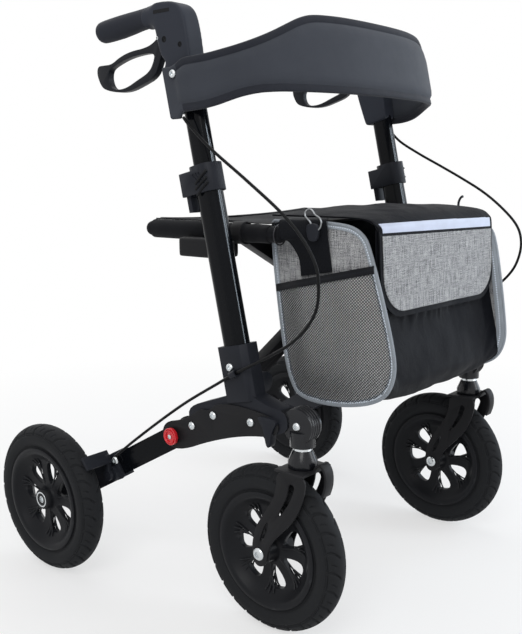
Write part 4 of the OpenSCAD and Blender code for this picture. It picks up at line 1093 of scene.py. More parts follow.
class ROLLATOR_OT_frame(bpy.types.Operator):
    """Round the edges of castings, plates, forks and collars and give each its finish"""
    bl_idname = "rollator.frame"
    bl_label = "Side frames and casters"

    def execute(self, context):
        s = sizes()
        for side, sign in SIDES.items():
            for node in ("post", "inner_tube"):
                tube = rounded_node(f"{side}_{node}", "drawn", 0.0, FINISHES["tube"], "tube", flat=0)
                bpy.data.collections["lacquered_tubes"].objects.link(tube)
            self.boss(side, sign)
            rounded_node(f"{side}_cheek_plates", "pressed", s.plate_round, FINISHES["plate"], "plate")
            rounded_node(f"{side}_rear_leg", "drawn", 0.0016, FINISHES["tube"], "tube", 3, flat=0)
            rounded_node(
                f"{side}_wheel_bracket", "moulded", s.moulding_round, FINISHES["moulding"], "plastic", 3,
                flat=0,
            )
            rounded_node(f"{side}_clamp_collar", "moulded", 0.0008, FINISHES["moulding"], "plastic")
            rounded_node(f"{side}_clamp_lever", "moulded", 0.0016, FINISHES["moulding"], "plastic", 3)
            self.saddle(side)
            self.collar_ribs(side, sign)
            self.button_marks(side, sign)
            rounded_node(f"{side}_brake_arm", "pressed", 0.0012, FINISHES["moulding"], "plate", 3)
            rounded_node(f"{side}_fork", "pressed", s.plate_round, FINISHES["plate"], "plate")
            rounded_node(f"{side}_button", "moulded", 0.0009, FINISHES["button"], "button", 3)
            self.stem(side)
            painted(frame["nodes"][f"{side}_seat_rail"], FINISHES["rail"])
        for bar in "ab":
            rounded_node(f"cross_brace_{bar}", "drawn", 0.0018, FINISHES["plate"], "tube", 3)
        rounded_node("brace_pin", "turned", 0.0008, FINISHES["bolt"], "bolt")
        return {"FINISHED"}

    def boss(self, side, sign):
        """The casting, with a gloss finish and grooved rings on its round boss over the caster."""
        hub = rounded_node(
            f"{side}_hub", "moulded", sizes().moulding_round, FINISHES["moulding"], "hub_casting"
        )
        hub.data.materials.append(FINISHES["nose"])
        for p in hub.data.polygons:
            if p.center.y < -0.2205 and p.center.z < 0.347:
                p.material_index = 1
        rings = []
        for dx in BOSS_RINGS:
            run = ring_run(Vector((sign * SIDE_X + dx, -0.246, 0.3205)), AXIS_Y, AXIS_Z, 0.0249, 48)
            rings.append(rod("ring", run, 0.0022, 8, True, FINISHES["nose"]))
        dressed(joined(f"{side}_boss_rings", rings), f"{side}_frame", "hub_casting")

    def saddle(self, side):
        """The rail's rest with softly rounded corners."""
        saddle = rounded_node(f"{side}_saddle", "moulded", 0.0, FINISHES["plate"], "plastic", flat=0)
        modified(saddle, "REMESH", mode="VOXEL", voxel_size=0.0022)
        modified(saddle, "SMOOTH", factor=0.5, iterations=24)
        smooth(saddle, 60)
        painted(saddle, FINISHES["plate"])

    def collar_ribs(self, side, sign):
        """Three slanting ribs on the clamp collar, painted near-black with the recess finish as painted
        shade.
        """
        low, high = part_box(f"{side}_clamp_collar")
        face = high.x if sign > 0 else low.x
        ribs = []
        for ends in COLLAR_RIBS:
            run = [Vector((face, *(c * MM for c in p))) for p in ends]
            run = [run[0].lerp(run[1], k / 6) for k in range(7)]
            ribs.append(rod("rib", run, 0.004, 8, False, FINISHES["recess"]))
        dressed(joined(f"{side}_collar_ribs", ribs), f"{side}_frame", "plastic")

    def button_marks(self, side, sign):
        """A raised rim and a pale screw on a push button."""
        low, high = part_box(f"{side}_button")
        face = high.x if sign > 0 else low.x
        centre = (low + high) / 2
        r = (high.z - low.z) / 2
        run = ring_run(Vector((face, centre.y, centre.z)), AXIS_Y, AXIS_Z, r * 0.68, 36)
        rim = rod("rim", run, r * 0.16, 8, True, FINISHES["button"])
        profile = [(-0.001, 0.02), (0.0007, 0.02), (0.0007, 0.2), (0.0003, 0.27), (-0.001, 0.27)]
        screw = spun("screw", [(a * sign, q * r) for a, q in profile], 20)
        screw.data.transform(Matrix.Translation((face, centre.y, centre.z)))
        painted(smooth(screw, 40), FINISHES["bolt"])
        dressed(joined(f"{side}_button_marks", [rim, screw]), body_name(f"{side}_button"), "button")

    def stem(self, side):
        """Black bell with its bright washer under the boss."""
        stem = rounded_node(f"{side}_caster_stem", "turned", 0.0006, FINISHES["nose"], "bolt")
        stem.data.materials.append(FINISHES["bolt"])
        for p in stem.data.polygons:
            if p.center.z > 0.2853:
                p.material_index = 1


class ROLLATOR_OT_bolts(bpy.types.Operator):
    """Set bright button heads with hexagon sockets on axles, plates and handles"""
    bl_idname = "rollator.bolts"
    bl_label = "Bolts"

    def execute(self, context):
        head = self.head()
        for side, sign in SIDES.items():
            self.heads(head, f"{side}_frame_bolts", sign, 20 * MM)
            self.heads(head, f"{side}_front_axle", sign, 20 * MM)
            self.heads(head, f"{side}_rear_axle", sign, 20 * MM, only_out=True)
            self.heads(head, f"{side}_handle_screws", sign, 40 * MM)
            turn = Matrix.Rotation(math.radians(-11.64 * sign), 4, "Z") @ Matrix.Diagonal((sign, 1, 1, 1))
            at = Matrix.Translation((sign * 0.2876, 0.1136, 0.1989)) @ turn @ Matrix.Scale(0.0066, 4)
            dressed(copied(head, f"{side}_bracket_bolt", at), f"{side}_frame", "bolt")
        drop(head)
        return {"FINISHED"}

    def head(self):
        """A button head of radius 1 about X, with its seat at 0."""
        profile = [(0, 0.02), (0, 0.97), (0.06, 1.0), (0.2, 0.99), (0.36, 0.9), (0.5, 0.72), (0.56, 0.55),
                   (0.56, 0.5), (0.2, 0.46), (0.2, 0.02)]
        head = spun("bolt_head", profile, 36)
        for v in head.data.vertices:
            r = math.hypot(v.co.y, v.co.z)
            if 0.44 < r < 0.52 or (v.co.x > 0.1 and r < 0.44):
                a = math.atan2(v.co.z, v.co.y) % (math.pi / 3) - math.pi / 6
                v.co.y, v.co.z = (c * 0.87 / math.cos(a) for c in (v.co.y, v.co.z))
        smooth(head, 30)
        return painted(head, FINISHES["bolt"])

    def heads(self, head, node, sign, through, only_out=False):
        """Turns a node of plain rods into rods with button heads."""
        parts = []
        for low, high in loose_boxes(node):
            centre = (low + high) / 2
            r = (high.z - low.z) / 2
            length = high.x - low.x
            tall = min(length, 4 * MM if r > 5 * MM else 3 * MM)
            ends = (-1, 1) if length > through and not only_out else (sign,)
            start = low.x + tall * (0.98 if -1 in ends else 0)
            stop = high.x - tall * (0.98 if 1 in ends else 0)
            core = [(start, 0.001), (start, r * 0.62), (stop, r * 0.62), (stop, 0.001)]
            if stop - start > 1 * MM:
                shaft = spun("shaft", core, 28)
                shaft.data.transform(Matrix.Translation((0, centre.y, centre.z)))
                parts.append(painted(smooth(shaft, 40), FINISHES["bolt"]))
            for way in ends:
                seat = high.x - tall if way > 0 else low.x + tall
                scale = Matrix.Diagonal((way * tall / 0.56, r, r, 1))
                parts.append(copied(head, "head", Matrix.Translation((seat, centre.y, centre.z)) @ scale))
        piece = joined(f"{node}_heads", parts)
        dressed(piece, body_name(node), "bolt", node)


# Handles

ELBOW = Vector((-30.26, 857.75))
SHELL = (100.0, 154.0)
SHELL_SHARES = [
    (0.7, 0.328), (0.3, 0.335), (0.08, 0.325), (-0.08, 0.28), (-0.17, 0.19), (-0.23, 0.04),
    (-0.27, -0.13), (-0.4, -0.6), (-0.38, -0.64), (0.02, -0.71), (0.05, -0.7), (0.27, -0.31),
    (0.26, -0.27), (0.22, -0.25), (0.22, -0.2), (0.3, -0.17), (0.36, -0.06), (0.4, 0.03), (0.44, 0.11),
    (0.7, 0.105),
]
# Section of a near-black plug that paints the shade in a screw recess.
RECESS_PROFILE = [
    (-1.5, 0.02), (0.1, 0.02), (0.1, 0.7), (0.45, 0.85), (0.45, 1.0), (0.0, 1.1), (-1.5, 1.1),
]
SHELL_HALF, SHELL_VOXEL = 16.9 * MM, 1.6 * MM
LEVER_SLOT = Vector((-6.5, -3.0, 828.0)) * MM, Vector((6.5, 40.0, 869.0)) * MM
SHELL_SCREWS = ((-9, 856, 4.2), (-41, 846, 3.6))
SHELL_SLOT = ((-21, 893), (12, 893), (12, 898), (-21, 898))
GRIP_SLOPE, GRIP_L = math.radians(5.0), 114.0 * MM
NECK_Y, NECK_R = (6 * MM, 30 * MM), 16.6 * MM
GRIP_ROWS = [
    (0, 14.0), (1.0, 15.8), (24, 16.0), (44, 16.6), (66, 17.0), (88, 17.0), (102, 16.7), (109, 16.1),
    (112, 14.9), (113.5, 13.0), (114, 11.0), (114, 0.3), (1, 0.3),
]


class ROLLATOR_OT_handles(bpy.types.Operator):
    """Mould the handle shells, rubber grips and brake levers"""
    bl_idname = "rollator.handles"
    bl_label = "Handles"

    def execute(self, context):
        outline = [
            Vector((ELBOW.x + y * SHELL[0], ELBOW.y + z * SHELL[1])) * MM for y, z in SHELL_SHARES
        ]
        outline = evened(rounds(outline, 3), 120)
        for side, sign in SIDES.items():
            x = sign * SIDE_X
            shell = flat_piece(f"{side}_handle_moulding", outline, (x - SHELL_HALF, x + SHELL_HALF))
            modified(shell, "REMESH", mode="VOXEL", voxel_size=SHELL_VOXEL)
            soft = int((sizes().handle_round / SHELL_VOXEL) ** 2)
            modified(shell, "SMOOTH", factor=0.5, iterations=soft)
            self.round_neck(shell, side, x)
            self.cut_slot(shell, x)
            smooth(shell, 50)
            painted(shell, FINISHES["handle"])
            dressed(shell, f"{side}_handle", "handle_plastic", f"{side}_handle_shell")
            self.details(side, sign, x)
            self.grip(side, x)
            rounded_node(f"{side}_brake_lever", "moulded", 0.0028, FINISHES["lever"], "handle_plastic", 3)
        return {"FINISHED"}

    def round_neck(self, shell, side, x):
        """Turns the shell's neck round where it meets the grip."""
        start = self.grip_start(side, x)
        fall = math.tan(GRIP_SLOPE)
        for v in shell.data.vertices:
            share = ease((v.co.y - NECK_Y[0]) / (NECK_Y[1] - NECK_Y[0]))
            off = Vector((v.co.x - x, v.co.z - (start[2] - (v.co.y - start[1]) * fall)))
            if share and off.length > NECK_R / 2:
                off *= 1 + share * (NECK_R / off.length - 1) * ease(off.length / NECK_R * 2 - 1)
                v.co.x = x + off.x
                v.co.z = start[2] - (v.co.y - start[1]) * fall + off.y

    def grip_start(self, side, x):
        low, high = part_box(f"{side}_grip")
        r = (high.z - low.z - GRIP_L * math.sin(GRIP_SLOPE)) / (2 * math.cos(GRIP_SLOPE))
        return x, low.y + r * math.sin(GRIP_SLOPE), high.z - r * math.cos(GRIP_SLOPE)

    def cut_slot(self, shell, x):
        """Room for the lever's root in the rear of the shell."""
        take()
        bpy.ops.mesh.primitive_cube_add(size=1)
        cutter = newest("slot_cutter")
        low, high = LEVER_SLOT
        for v in cutter.data.vertices:
            v.co = [low[i] + (v.co[i] + 0.5) * (high[i] - low[i]) for i in range(3)]
            v.co.x += x
        modified(shell, "BOOLEAN", object=cutter, operation="DIFFERENCE", solver="EXACT")
        drop(cutter)

    def details(self, side, sign, x):
        """Near-black plugs in the screw recesses and the adjuster's slot: painted shade in these hollows.
        """
        out = x + sign * SHELL_HALF
        parts = []
        for y, z, r in SHELL_SCREWS:
            ring = spun("recess", [(a * sign * MM, q * r * MM) for a, q in RECESS_PROFILE], 28)
            ring.data.transform(Matrix.Translation((out, y * MM, z * MM)))
            parts.append(painted(smooth(ring, 30), FINISHES["recess"]))
        slot = [Vector(p) * MM for p in SHELL_SLOT]
        slot = flat_piece("slot", slot, (out - sign * 0.003, out + sign * 0.0003))
        parts.append(painted(smooth(slot, 40), FINISHES["recess"]))
        dressed(joined(f"{side}_handle_recesses", parts), f"{side}_handle", "handle_plastic")

    def grip(self, side, x):
        """A rubber grip that is slim under the shell and full under the palm."""
        grip = spun(f"{side}_grip_rubber", [(a * MM, q * MM) for a, q in GRIP_ROWS], 56)
        for v in grip.data.vertices:
            if v.co.z < 0:
                v.co.z *= 0.86 + 0.14 * ease((v.co.x - 0.012) / 0.055)
        turn = Matrix.Rotation(-GRIP_SLOPE, 4, "X") @ Matrix.Rotation(math.radians(90), 4, "Z")
        grip.data.transform(Matrix.Translation(self.grip_start(side, x)) @ turn)
        smooth(grip, 50)
        painted(grip, FINISHES["grip"])
        dressed(grip, f"{side}_handle", "grip_rubber", f"{side}_grip")


# Backrest

BACK_OUT, BACK_END_Y, BACK_TAIL, BACK_BOW = 277.0, -38.26, 6.0, 190.0
BACK_END_Z, BACK_END_H, BACK_CREST, BACK_RISE = 747.75, 76.0, 63.0, 28.0
BACK_LEAN = math.tan(math.radians(12.4))
BACK_POWER = 2.4
CREST_SHARES = [
    (0, 1), (0.35, 1), (0.5, 0.98), (0.57, 0.93), (0.65, 0.76), (0.75, 0.52), (0.87, 0.27),
    (0.97, 0.08), (1, 0),
]
RISE_SHARES = [(0, 1), (0.76, 1), (0.86, 0.9), (0.93, 0.57), (0.98, 0.2), (1, 0)]
BACK_STEPS = 200
SEAM_IN = 11.0
INSETS = (0.0, 0.5, 1.4, 3.0, 6.0, 9.0, 10.2, SEAM_IN, 11.8, 13.0, 17.0, 24.0)
MIDDLES = [k / 8 for k in range(1, 8)]
TAB_L, TAB_DROP, TAB_LOWER = 24.0, 9.5, 11.0


def back_line():
    """The band's middle line from the right handle round to the left one, in plan."""
    def power(v, e):
        return math.copysign(abs(v) ** e, v)
    run = [Vector((-BACK_OUT, BACK_END_Y + BACK_TAIL)), Vector((-BACK_OUT, BACK_END_Y + BACK_TAIL / 2))]
    for i in range(241):
        a = math.pi * i / 240
        run.append(Vector((
            -BACK_OUT * power(math.cos(a), 2 / BACK_POWER),
            BACK_END_Y - BACK_BOW * power(math.sin(a), 2 / BACK_POWER),
        )))
    run += [Vector((BACK_OUT, BACK_END_Y + BACK_TAIL / 2)), Vector((BACK_OUT, BACK_END_Y + BACK_TAIL))]
    return evened(run, BACK_STEPS + 1, closed=False)


def smoothed_table(table, at):
    """A table read with its corners softened."""
    reach = 0.05
    return sum(along(table, min(max(at + reach * k / 4, 0), 1)) for k in range(-4, 5)) / 9


def band_rows():
    """Rows round the band's section: face, inset from the top, inset from the bottom or share between."""
    face = [("top", d) for d in INSETS] + [("mid", m) for m in MIDDLES]
    face += [("low", d) for d in reversed(INSETS)]
    return [(1, *row) for row in face] + [(-1, *row) for row in reversed(face[1:-1])]


class ROLLATOR_OT_backrest(bpy.types.Operator):
    """Sew the padded backrest band with its binding and flat end tabs"""
    bl_idname = "rollator.backrest"
    bl_label = "Backrest"

    def execute(self, context):
        rows = band_rows()
        rings = self.rings()

        def place(u, v):
            face, kind, value = rows[int(round(v * len(rows))) % len(rows)]
            p, n, low, high, padded = rings[int(round(u * BACK_STEPS))]
            if kind == "mid":
                z = high - INSETS[-1] - value * (high - low - 2 * INSETS[-1])
            else:
                z = high - value if kind == "top" else low + value
            half = face * self.half(min(z - low, high - z), padded)
            return Vector((p.x + n.x * half, p.y + n.y * half + (z - BACK_END_Z) * BACK_LEAN, z)) * MM

        pad = sheet_piece("backrest_pad", BACK_STEPS, len(rows), place)
        painted(pad, FINISHES["pad"], FINISHES["pad_edge"])
        maps = pad.data.uv_layers.active.data
        for f in pad.data.polygons:
            us, vs = zip(*(maps[i].uv for i in f.loop_indices))
            row = int(sum(vs) / len(vs) * len(rows))
            ends = [rows[row], rows[(row + 1) % len(rows)]]
            bound = all(kind != "mid" and value <= SEAM_IN for _, kind, value in ends)
            k = int(sum(us) / len(us) * BACK_STEPS)
            f.material_index = int(bound and rings[k][4] > 0.5)
        weld(pad, 1e-6)

        def caps():
            bpy.ops.mesh.select_all(action="DESELECT")
            bpy.ops.mesh.select_non_manifold()
            bpy.ops.mesh.fill_holes(sides=0)
            bpy.ops.mesh.select_all(action="SELECT")
            bpy.ops.mesh.normals_make_consistent(inside=False)
        in_edit(pad, caps)
        smooth(pad, 60)
        dressed(pad, "right_handle", "pad_cloth", "backrest")
        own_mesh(pad)
        return {"FINISHED"}

    def rings(self):
        """Place, outward way, lower and upper edge and padding along the band."""
        line = back_line()
        step = length_of(line) / BACK_STEPS
        found = []
        for i, p in enumerate(line):
            t = (line[min(i + 1, BACK_STEPS)] - line[max(i - 1, 0)]).normalized()
            reach = min(abs(p.x) / BACK_OUT, 1.0)
            low = BACK_END_Z + BACK_RISE * smoothed_table(RISE_SHARES, reach)
            high = BACK_END_Z + BACK_END_H + BACK_CREST * smoothed_table(CREST_SHARES, reach)
            at = min(i, BACK_STEPS - i) * step
            low -= TAB_DROP * (1 - ease((at - TAB_L + 9) / 7))
            high -= TAB_LOWER * (1 - ease((at - TAB_L + 12) / 34))
            found.append((p, Vector((-t.y, t.x)), low, high, ease((at - TAB_L + 5) / 12)))
        return found

    def half(self, inset, padded):
        """Half the band's thickness at a distance from its edge."""
        flat = 4.2 * min(1.0, math.sqrt(max(0.0, inset) / 2.2))
        seam = math.exp(-((inset - SEAM_IN) / 1.4) ** 2)
        panel = ease((inset - SEAM_IN) / 9.0)
        return flat + padded * ((1.3 + sizes().pad_swell / MM) * panel - 1.1 * seam)


# Seat

RAIL_X, RAIL_Z, HEM_R = 200.0, 577.0, 14.6
SLING_Y = (-64.0, 92.0)
SLEEVE_Y = (-152.0, 92.0)
APRON_Y = (-66.0, -147.0)
SLING_STEPS = 180


def drawn_in(obj):
    """Gives a piece its own mesh."""
    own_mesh(obj)
    return obj


def thick(obj, thickness, finish):
    """Gives a sheet its thickness and finish."""
    modified(obj, "SOLIDIFY", thickness=thickness, offset=0.0)
    return painted(smooth(obj, 60), FINISHES[finish])


def sewn(obj, thickness, finish, body="seat", slot="bag_cloth", *nodes):
    """Gives a sheet its thickness and finish and lets it ride on its body."""
    return drawn_in(dressed(thick(obj, thickness, finish), body, slot, *nodes))


class ROLLATOR_OT_seat(bpy.types.Operator):
    """Stretch the woven sling between the seat rails"""
    bl_idname = "rollator.seat"
    bl_label = "Seat"

    def execute(self, context):
        sag = sizes().seat_sag / MM
        run = []
        for k in range(41):
            x = RAIL_X * (1 - k / 20)
            run.append(Vector((x, RAIL_Z + HEM_R + 1.4 - sag * (1 - (x / RAIL_X) ** 2))))
        run = evened(run, SLING_STEPS + 1, closed=False)
        long = length_of(run) * MM
        wide = (SLING_Y[1] - SLING_Y[0]) * MM

        def place(u, v):
            p = run[int(round(u * SLING_STEPS))]
            y = SLING_Y[0] + (SLING_Y[1] - SLING_Y[0]) * v
            span = ease(1 - abs(p.x) / RAIL_X)
            lift = 2.0 * math.exp(-(min(v, 1 - v) / 0.04) ** 2) * span
            ripple = noise.noise(Vector((p.x * 0.02, y * 0.012, 3.0))) * span
            return Vector((p.x, y, p.y + lift + ripple)) * MM

        sling = sheet_piece("seat_sling_cloth", SLING_STEPS, 40, place, lambda u, v: (u * long, v * wide))
        sewn(sling, 0.0018, "seat", "seat", "seat_cloth", "seat_sling")
        self.hems(run)
        self.sleeves()
        self.apron()
        return {"FINISHED"}

    def hems(self, run):
        """Raised folded hems along the sling's front and rear edges."""
        for name, y in (("front", SLING_Y[0] + 7), ("rear", SLING_Y[1] - 7)):
            def place(u, v):
                p = run[int(round(SLING_STEPS * (0.02 + 0.96 * u)))]
                span = ease(1 - abs(p.x) / RAIL_X)
                z = p.y + 1.4 + 1.2 * span + 0.5 * math.sin(math.pi * v)
                return Vector((p.x, y + (v - 0.5) * 13.0, z)) * MM

            hem = sheet_piece(f"seat_hem_{name}", 100, 6, place, lambda u, v: (u * 0.4, v))
            sewn(hem, 0.0008, "elastic", "seat", "seat_cloth")

    def apron(self):
        """The cloth that joins the sling's front hem to the bag's cover."""
        def place(u, v):
            y = APRON_Y[0] + (APRON_Y[1] - APRON_Y[0]) * u
            x = (v - 0.5) * 2 * RAIL_X
            span = ease(1 - abs(x) / RAIL_X)
            crumple = noise.noise(Vector((x * 0.02, y * 0.03, 9.0)))
            drop = (4.0 - 1.2 * crumple) * span
            return Vector((x, y, RAIL_Z + HEM_R + 0.5 - drop)) * MM

        apron = sheet_piece("seat_apron", 24, 120, place, lambda u, v: (u * 0.066, v * 0.42))
        sewn(apron, 0.0014, "seat", "seat", "seat_cloth")

    def sleeves(self):
        """Cloth sleeves round the rails, wrinkled in front of the sling."""
        for side, sign in SIDES.items():
            def place(u, v):
                y = SLEEVE_Y[0] + (SLEEVE_Y[1] - SLEEVE_Y[0]) * u
                a = 2 * math.pi * v
                way = Vector((math.cos(a), math.sin(a)))
                crumple = noise.noise(Vector((way.x * 1.3, way.y * 1.3, y * 0.07 + sign)))
                loose = 1 - ease((y - SLING_Y[0] + 2) / 8)
                gather = math.exp(-(y - SLEEVE_Y[0]) / 3)
                r = HEM_R - loose * (1.2 - 0.9 * crumple) - 0.9 * gather
                return Vector((sign * RAIL_X + r * way.x, y, RAIL_Z + r * way.y)) * MM
            sleeve = sheet_piece(f"{side}_rail_sleeve", 120, 36, place, lambda u, v: (u * 0.244, v * 0.09))
            thick(weld(sleeve, 1e-6), 0.0009, "seat")
            dressed(sleeve, body_name(f"{side}_seat_rail"), "seat_cloth")


# Bag

BAG_W, BAG_D, BAG_H, BAG_FRONT, BAG_TOP = 348.0, 220.0, 263.0, -350.0, 595.0
BAG_SLUMP, BAG_FORE = 6.0, 0.08
BAG_SHARES = [
    (0.4, 0), (0.95, 0), (0.98, 0), (0.98, -0.03), (0.98, -0.14), (0.945, -0.4), (0.885, -0.74),
    (0.835, -0.9), (0.75, -1), (0.4, -1), (0.1, -0.93), (0.01, -0.8), (0.02, -0.64), (0.19, -0.16),
    (0.25, -0.05),
]
BAG_MIDDLE = Vector((-232, 470))
BAG_LINE = [
    (-131, 588), (-131, 556), (-137, 487), (-150, 400), (-161, 362), (-183, 338), (-222, 338), (-262, 343),
    (-304, 351), (-326, 358), (-336, 368), (-335, 382), (-331, 405), (-321, 450), (-316, 480), (-313, 551),
    (-312, 588),
]
BAG_STEPS = 150
BAND_REAR, BAND_FRONT, BAND_H = Vector((-130, 493)), Vector((-330, 538)), 11.0
STRAP_REAR = [
    (200, -175, 599), (213, -177, 596), (214, -181, 575), (203, -186, 569), (189, -188, 554),
    (181, -189, 540), (179.5, -191, 517),
]
STRAP_FRONT = [
    (176, -236, 601), (184, -238, 597.5), (183, -240, 586), (181.5, -239.5, 574.5),
    (180.5, -241, 558), (180, -243, 543), (179.5, -245, 527),
]
HOOK_RUN = [
    (198, -223, 590), (199, -222, 596), (199, -217, 601), (198, -212, 605), (197, -212, 611),
    (196, -217, 615), (195, -222, 613), (195, -227, 607), (196, -235, 603), (197, -239, 597),
    (198, -238, 590), (198, -234, 586),
]
TAB_X, TAB_OUTLINE = 0.1975, ((-216, 595), (-233, 595), (-236, 586), (-233, 570), (-218, 570), (-214, 586))
LID_LINE = [
    (-130, 602.7), (-196, 602.7), (-262, 602.7), (-297, 600), (-311, 592), (-316, 583), (-318.5, 540),
    (-321, 500), (-323, 458),
]
COVER_HOOK = ((-262, 603), (-262, 611), (-264, 617), (-267, 621), (-270, 622))


def bag_outline(count, fore):
    """A side panel's rim; its upper front corner can stand further forward."""
    shares = [(y - fore if 0.1 < y < 0.3 and z > -0.5 else y, z) for y, z in BAG_SHARES]
    ring = rounds([Vector((BAG_FRONT + y * BAG_D, BAG_TOP + z * BAG_H)) for y, z in shares], 3)
    return evened(ring, count)


def inside(point, ring):
    """Whether a point lies in a closed outline."""
    hit = False
    for a, b in zip(ring, ring[1:] + ring[:1]):
        if (a.y > point.y) != (b.y > point.y):
            if point.x < a.x + (point.y - a.y) * (b.x - a.x) / (b.y - a.y):
                hit = not hit
    return hit


def edge_distance(point, ring):
    return min((point - p).length for p in ring)


def band_height(y):
    """Height of the pocket's upper edge at a place along the bag."""
    return BAND_REAR.y + (y - BAND_REAR.x) / (BAND_FRONT.x - BAND_REAR.x) * (BAND_FRONT.y - BAND_REAR.y)


class ROLLATOR_OT_bag(bpy.types.Operator):
    """Sew the bag: shell, side panels, net pockets, piping and straps"""
    bl_idname = "rollator.bag"
    bl_label = "Bag"

    def execute(self, context):
        self.shell()
        for side, sign in SIDES.items():
            slump, fore = (BAG_SLUMP, BAG_FORE) if side == "left" else (0.0, 0.0)
            ring = [p - Vector((0, slump)) for p in bag_outline(160, fore)]
            self.side_panel(side, sign, ring)
            self.binding(side, sign, ring)
            self.pocket(side, sign, ring)
            self.strap(side, sign)
        return {"FINISHED"}

    def shell(self):
        """Front, bottom and back as one sagging sheet that is open at the top."""
        strip = evened(routed([Vector(p) for p in BAG_LINE], 12), BAG_STEPS + 1, closed=False)
        long = length_of(strip) * MM

        def place(u, v):
            k = int(round(u * BAG_STEPS))
            p = strip[k]
            t = (strip[min(k + 1, BAG_STEPS)] - strip[max(k - 1, 0)]).normalized()
            n = Vector((-t.y, t.x))
            x = (v - 0.5) * (BAG_W - 3)
            held = math.cos(math.pi * (v - 0.5)) ** 0.7
            rim = ease(min(u, 1 - u) / 0.12)
            fore = ease((-190 - p.x) / 70)
            fold = noise.noise(Vector((x * 0.011, p.x * 0.012, p.y * 0.016)))
            fine = noise.noise(Vector((x * 0.035 + 5, p.x * 0.03, p.y * 0.03)))
            swag = math.sin((p.y - 380) / 26 + 2.2 * math.cos(x / 90)) * ease((460 - p.y) / 60)
            bulge = (2.5 * fore + (2.6 * fold + 1.2 * fine + 1.1 * swag) * rim) * held
            q = p + n * (bulge - 2.0 * (1 - fore))
            return Vector((x, q.x, q.y - BAG_SLUMP * v)) * MM

        cloth = sheet_piece("bag_shell", BAG_STEPS, 96, place, lambda u, v: (u * long, v * BAG_W * MM))
        edge = (BAG_W / 2 - 6) * MM

        def held(p):
            return abs(p.x) > edge or p.z > 0.575 or p.y > -0.2

        hung(cloth, held, grow=0.036, gravity=0.5, cap=0.009)
        sewn(cloth, 0.0016, "bag", "seat", "bag_cloth", "bag")

    def side_x(self, sign, p, ring, lift):
        """How far out a side panel stands at a place on it."""
        edge = min(edge_distance(p, ring) / 60.0, 1.0)
        return sign * (BAG_W / 2 - 0.5 + 3.0 * ease(edge) + lift)

    def filled(self, name, ring, rows, middle, out):
        """A sheet that fills an outline from its rim to a middle point."""
        def flat(u, v):
            return ring[int(round(u * len(ring))) % len(ring)].lerp(middle, v * 0.999)

        def place(u, v):
            p = flat(u, v)
            return Vector((out(p), p.x, p.y)) * MM

        return weld(sheet_piece(name, len(ring), rows, place, lambda u, v: flat(u, v) * MM), 1e-6)

    def side_panel(self, side, sign, ring):
        """A heather side panel, slightly domed."""
        def out(p):
            return self.side_x(sign, p, ring, 0)

        sewn(self.filled(f"{side}_bag_panel", ring, 16, BAG_MIDDLE, out), 0.0014, "heather")

    def binding(self, side, sign, ring):
        """Piping on the panel's rim, with a stitched tape on both faces."""
        x = sign * (BAG_W / 2 + 0.6)
        run = [Vector((x, p.x, p.y)) * MM for p in ring]
        tube = rod(f"{side}_bag_piping", run, sizes().piping, 12, True, FINISHES["piping"])
        drawn_in(dressed(tube, "seat", "bag_cloth"))
        count = len(ring)
        inner = []
        for i, p in enumerate(ring):
            t = (ring[(i + 1) % count] - ring[i - 1]).normalized()
            n = Vector((-t.y, t.x))
            inner.append(n if inside(p + n * 2, ring) else -n)
        long = length_of(ring + ring[:1]) * MM
        for ending, wide, lift in (("tape", 6.5, 1.5), ("facing", 13.0, -2.4)):
            def place(u, v):
                i = int(round(u * count)) % count
                p = ring[i] + inner[i] * (0.5 + wide * v)
                crown = 0.5 * math.copysign(math.sin(math.pi * v), lift)
                return Vector((self.side_x(sign, p, ring, lift + crown), p.x, p.y)) * MM

            tape = sheet_piece(f"{side}_bag_{ending}", count, 6, place, lambda u, v: (u * long, v))
            sewn(weld(tape, 1e-6), 0.001, "tape")

    def pocket_lift(self, p, ring):
        """How far the net stands off its panel."""
        down = ease(1 - (band_height(p.x) - p.y) / 190.0)
        across = ease(min(edge_distance(p, ring) / 55.0, 1.0))
        return 2.4 + sizes().pocket_bulge / MM * across * (0.45 + 0.55 * down)

    def pocket(self, side, sign, ring):
        """A net of real strands over a pale lining, under an elastic band."""
        pitch = sizes().net_pitch / MM
        cells = int(320 / pitch)
        take()
        bpy.ops.mesh.primitive_grid_add(x_subdivisions=cells, y_subdivisions=cells, size=cells * pitch)
        net = newest(f"{side}_pocket_net")
        turn = Matrix.Rotation(math.radians(45), 4, "Z")
        net.data.transform(Matrix.Translation((-232, 430, 0)) @ turn)
        mesh = bmesh.new()
        mesh.from_mesh(net.data)
        gone = []
        for v in mesh.verts:
            p = Vector((v.co.x, v.co.y))
            if p.y > band_height(p.x) + 3 or not inside(p, ring) or edge_distance(p, ring) < 4:
                gone.append(v)
        bmesh.ops.delete(mesh, geom=gone, context="VERTS")
        for v in mesh.verts:
            p = Vector((v.co.x, v.co.y))
            v.co = Vector((self.side_x(sign, p, ring, self.pocket_lift(p, ring)), p.x, p.y)) * MM
        mesh.to_mesh(net.data)
        mesh.free()
        modified(net, "WIREFRAME", thickness=0.00115, use_even_offset=False, use_boundary=True)
        painted(net, FINISHES["net"])
        drawn_in(dressed(net, "seat", "bag_cloth"))

        under = [p for p in ring if p.y < band_height(p.x)]
        first = max(range(len(under)), key=lambda i: (under[i] - under[i - 1]).length)
        under = evened(under[first:] + under[:first], 120)
        lining = self.filled(
            f"{side}_pocket_lining", under, 14, Vector((-236, 425)),
            lambda p: self.side_x(sign, p, ring, self.pocket_lift(p, ring) - 1.5),
        )
        sewn(lining, 0.0006, "lining")

        reach = [BAND_REAR.lerp(BAND_FRONT, k / 200) for k in range(201)]
        held = evened([p for p in reach if inside(p, ring)], 61, closed=False)

        def place(u, v):
            p = held[int(round(u * 60))]
            q = p + Vector((0, (v - 0.5) * BAND_H))
            lift = self.pocket_lift(p, ring) + 1.0 + 0.5 * math.sin(math.pi * v)
            return Vector((self.side_x(sign, p, ring, lift), q.x, q.y)) * MM

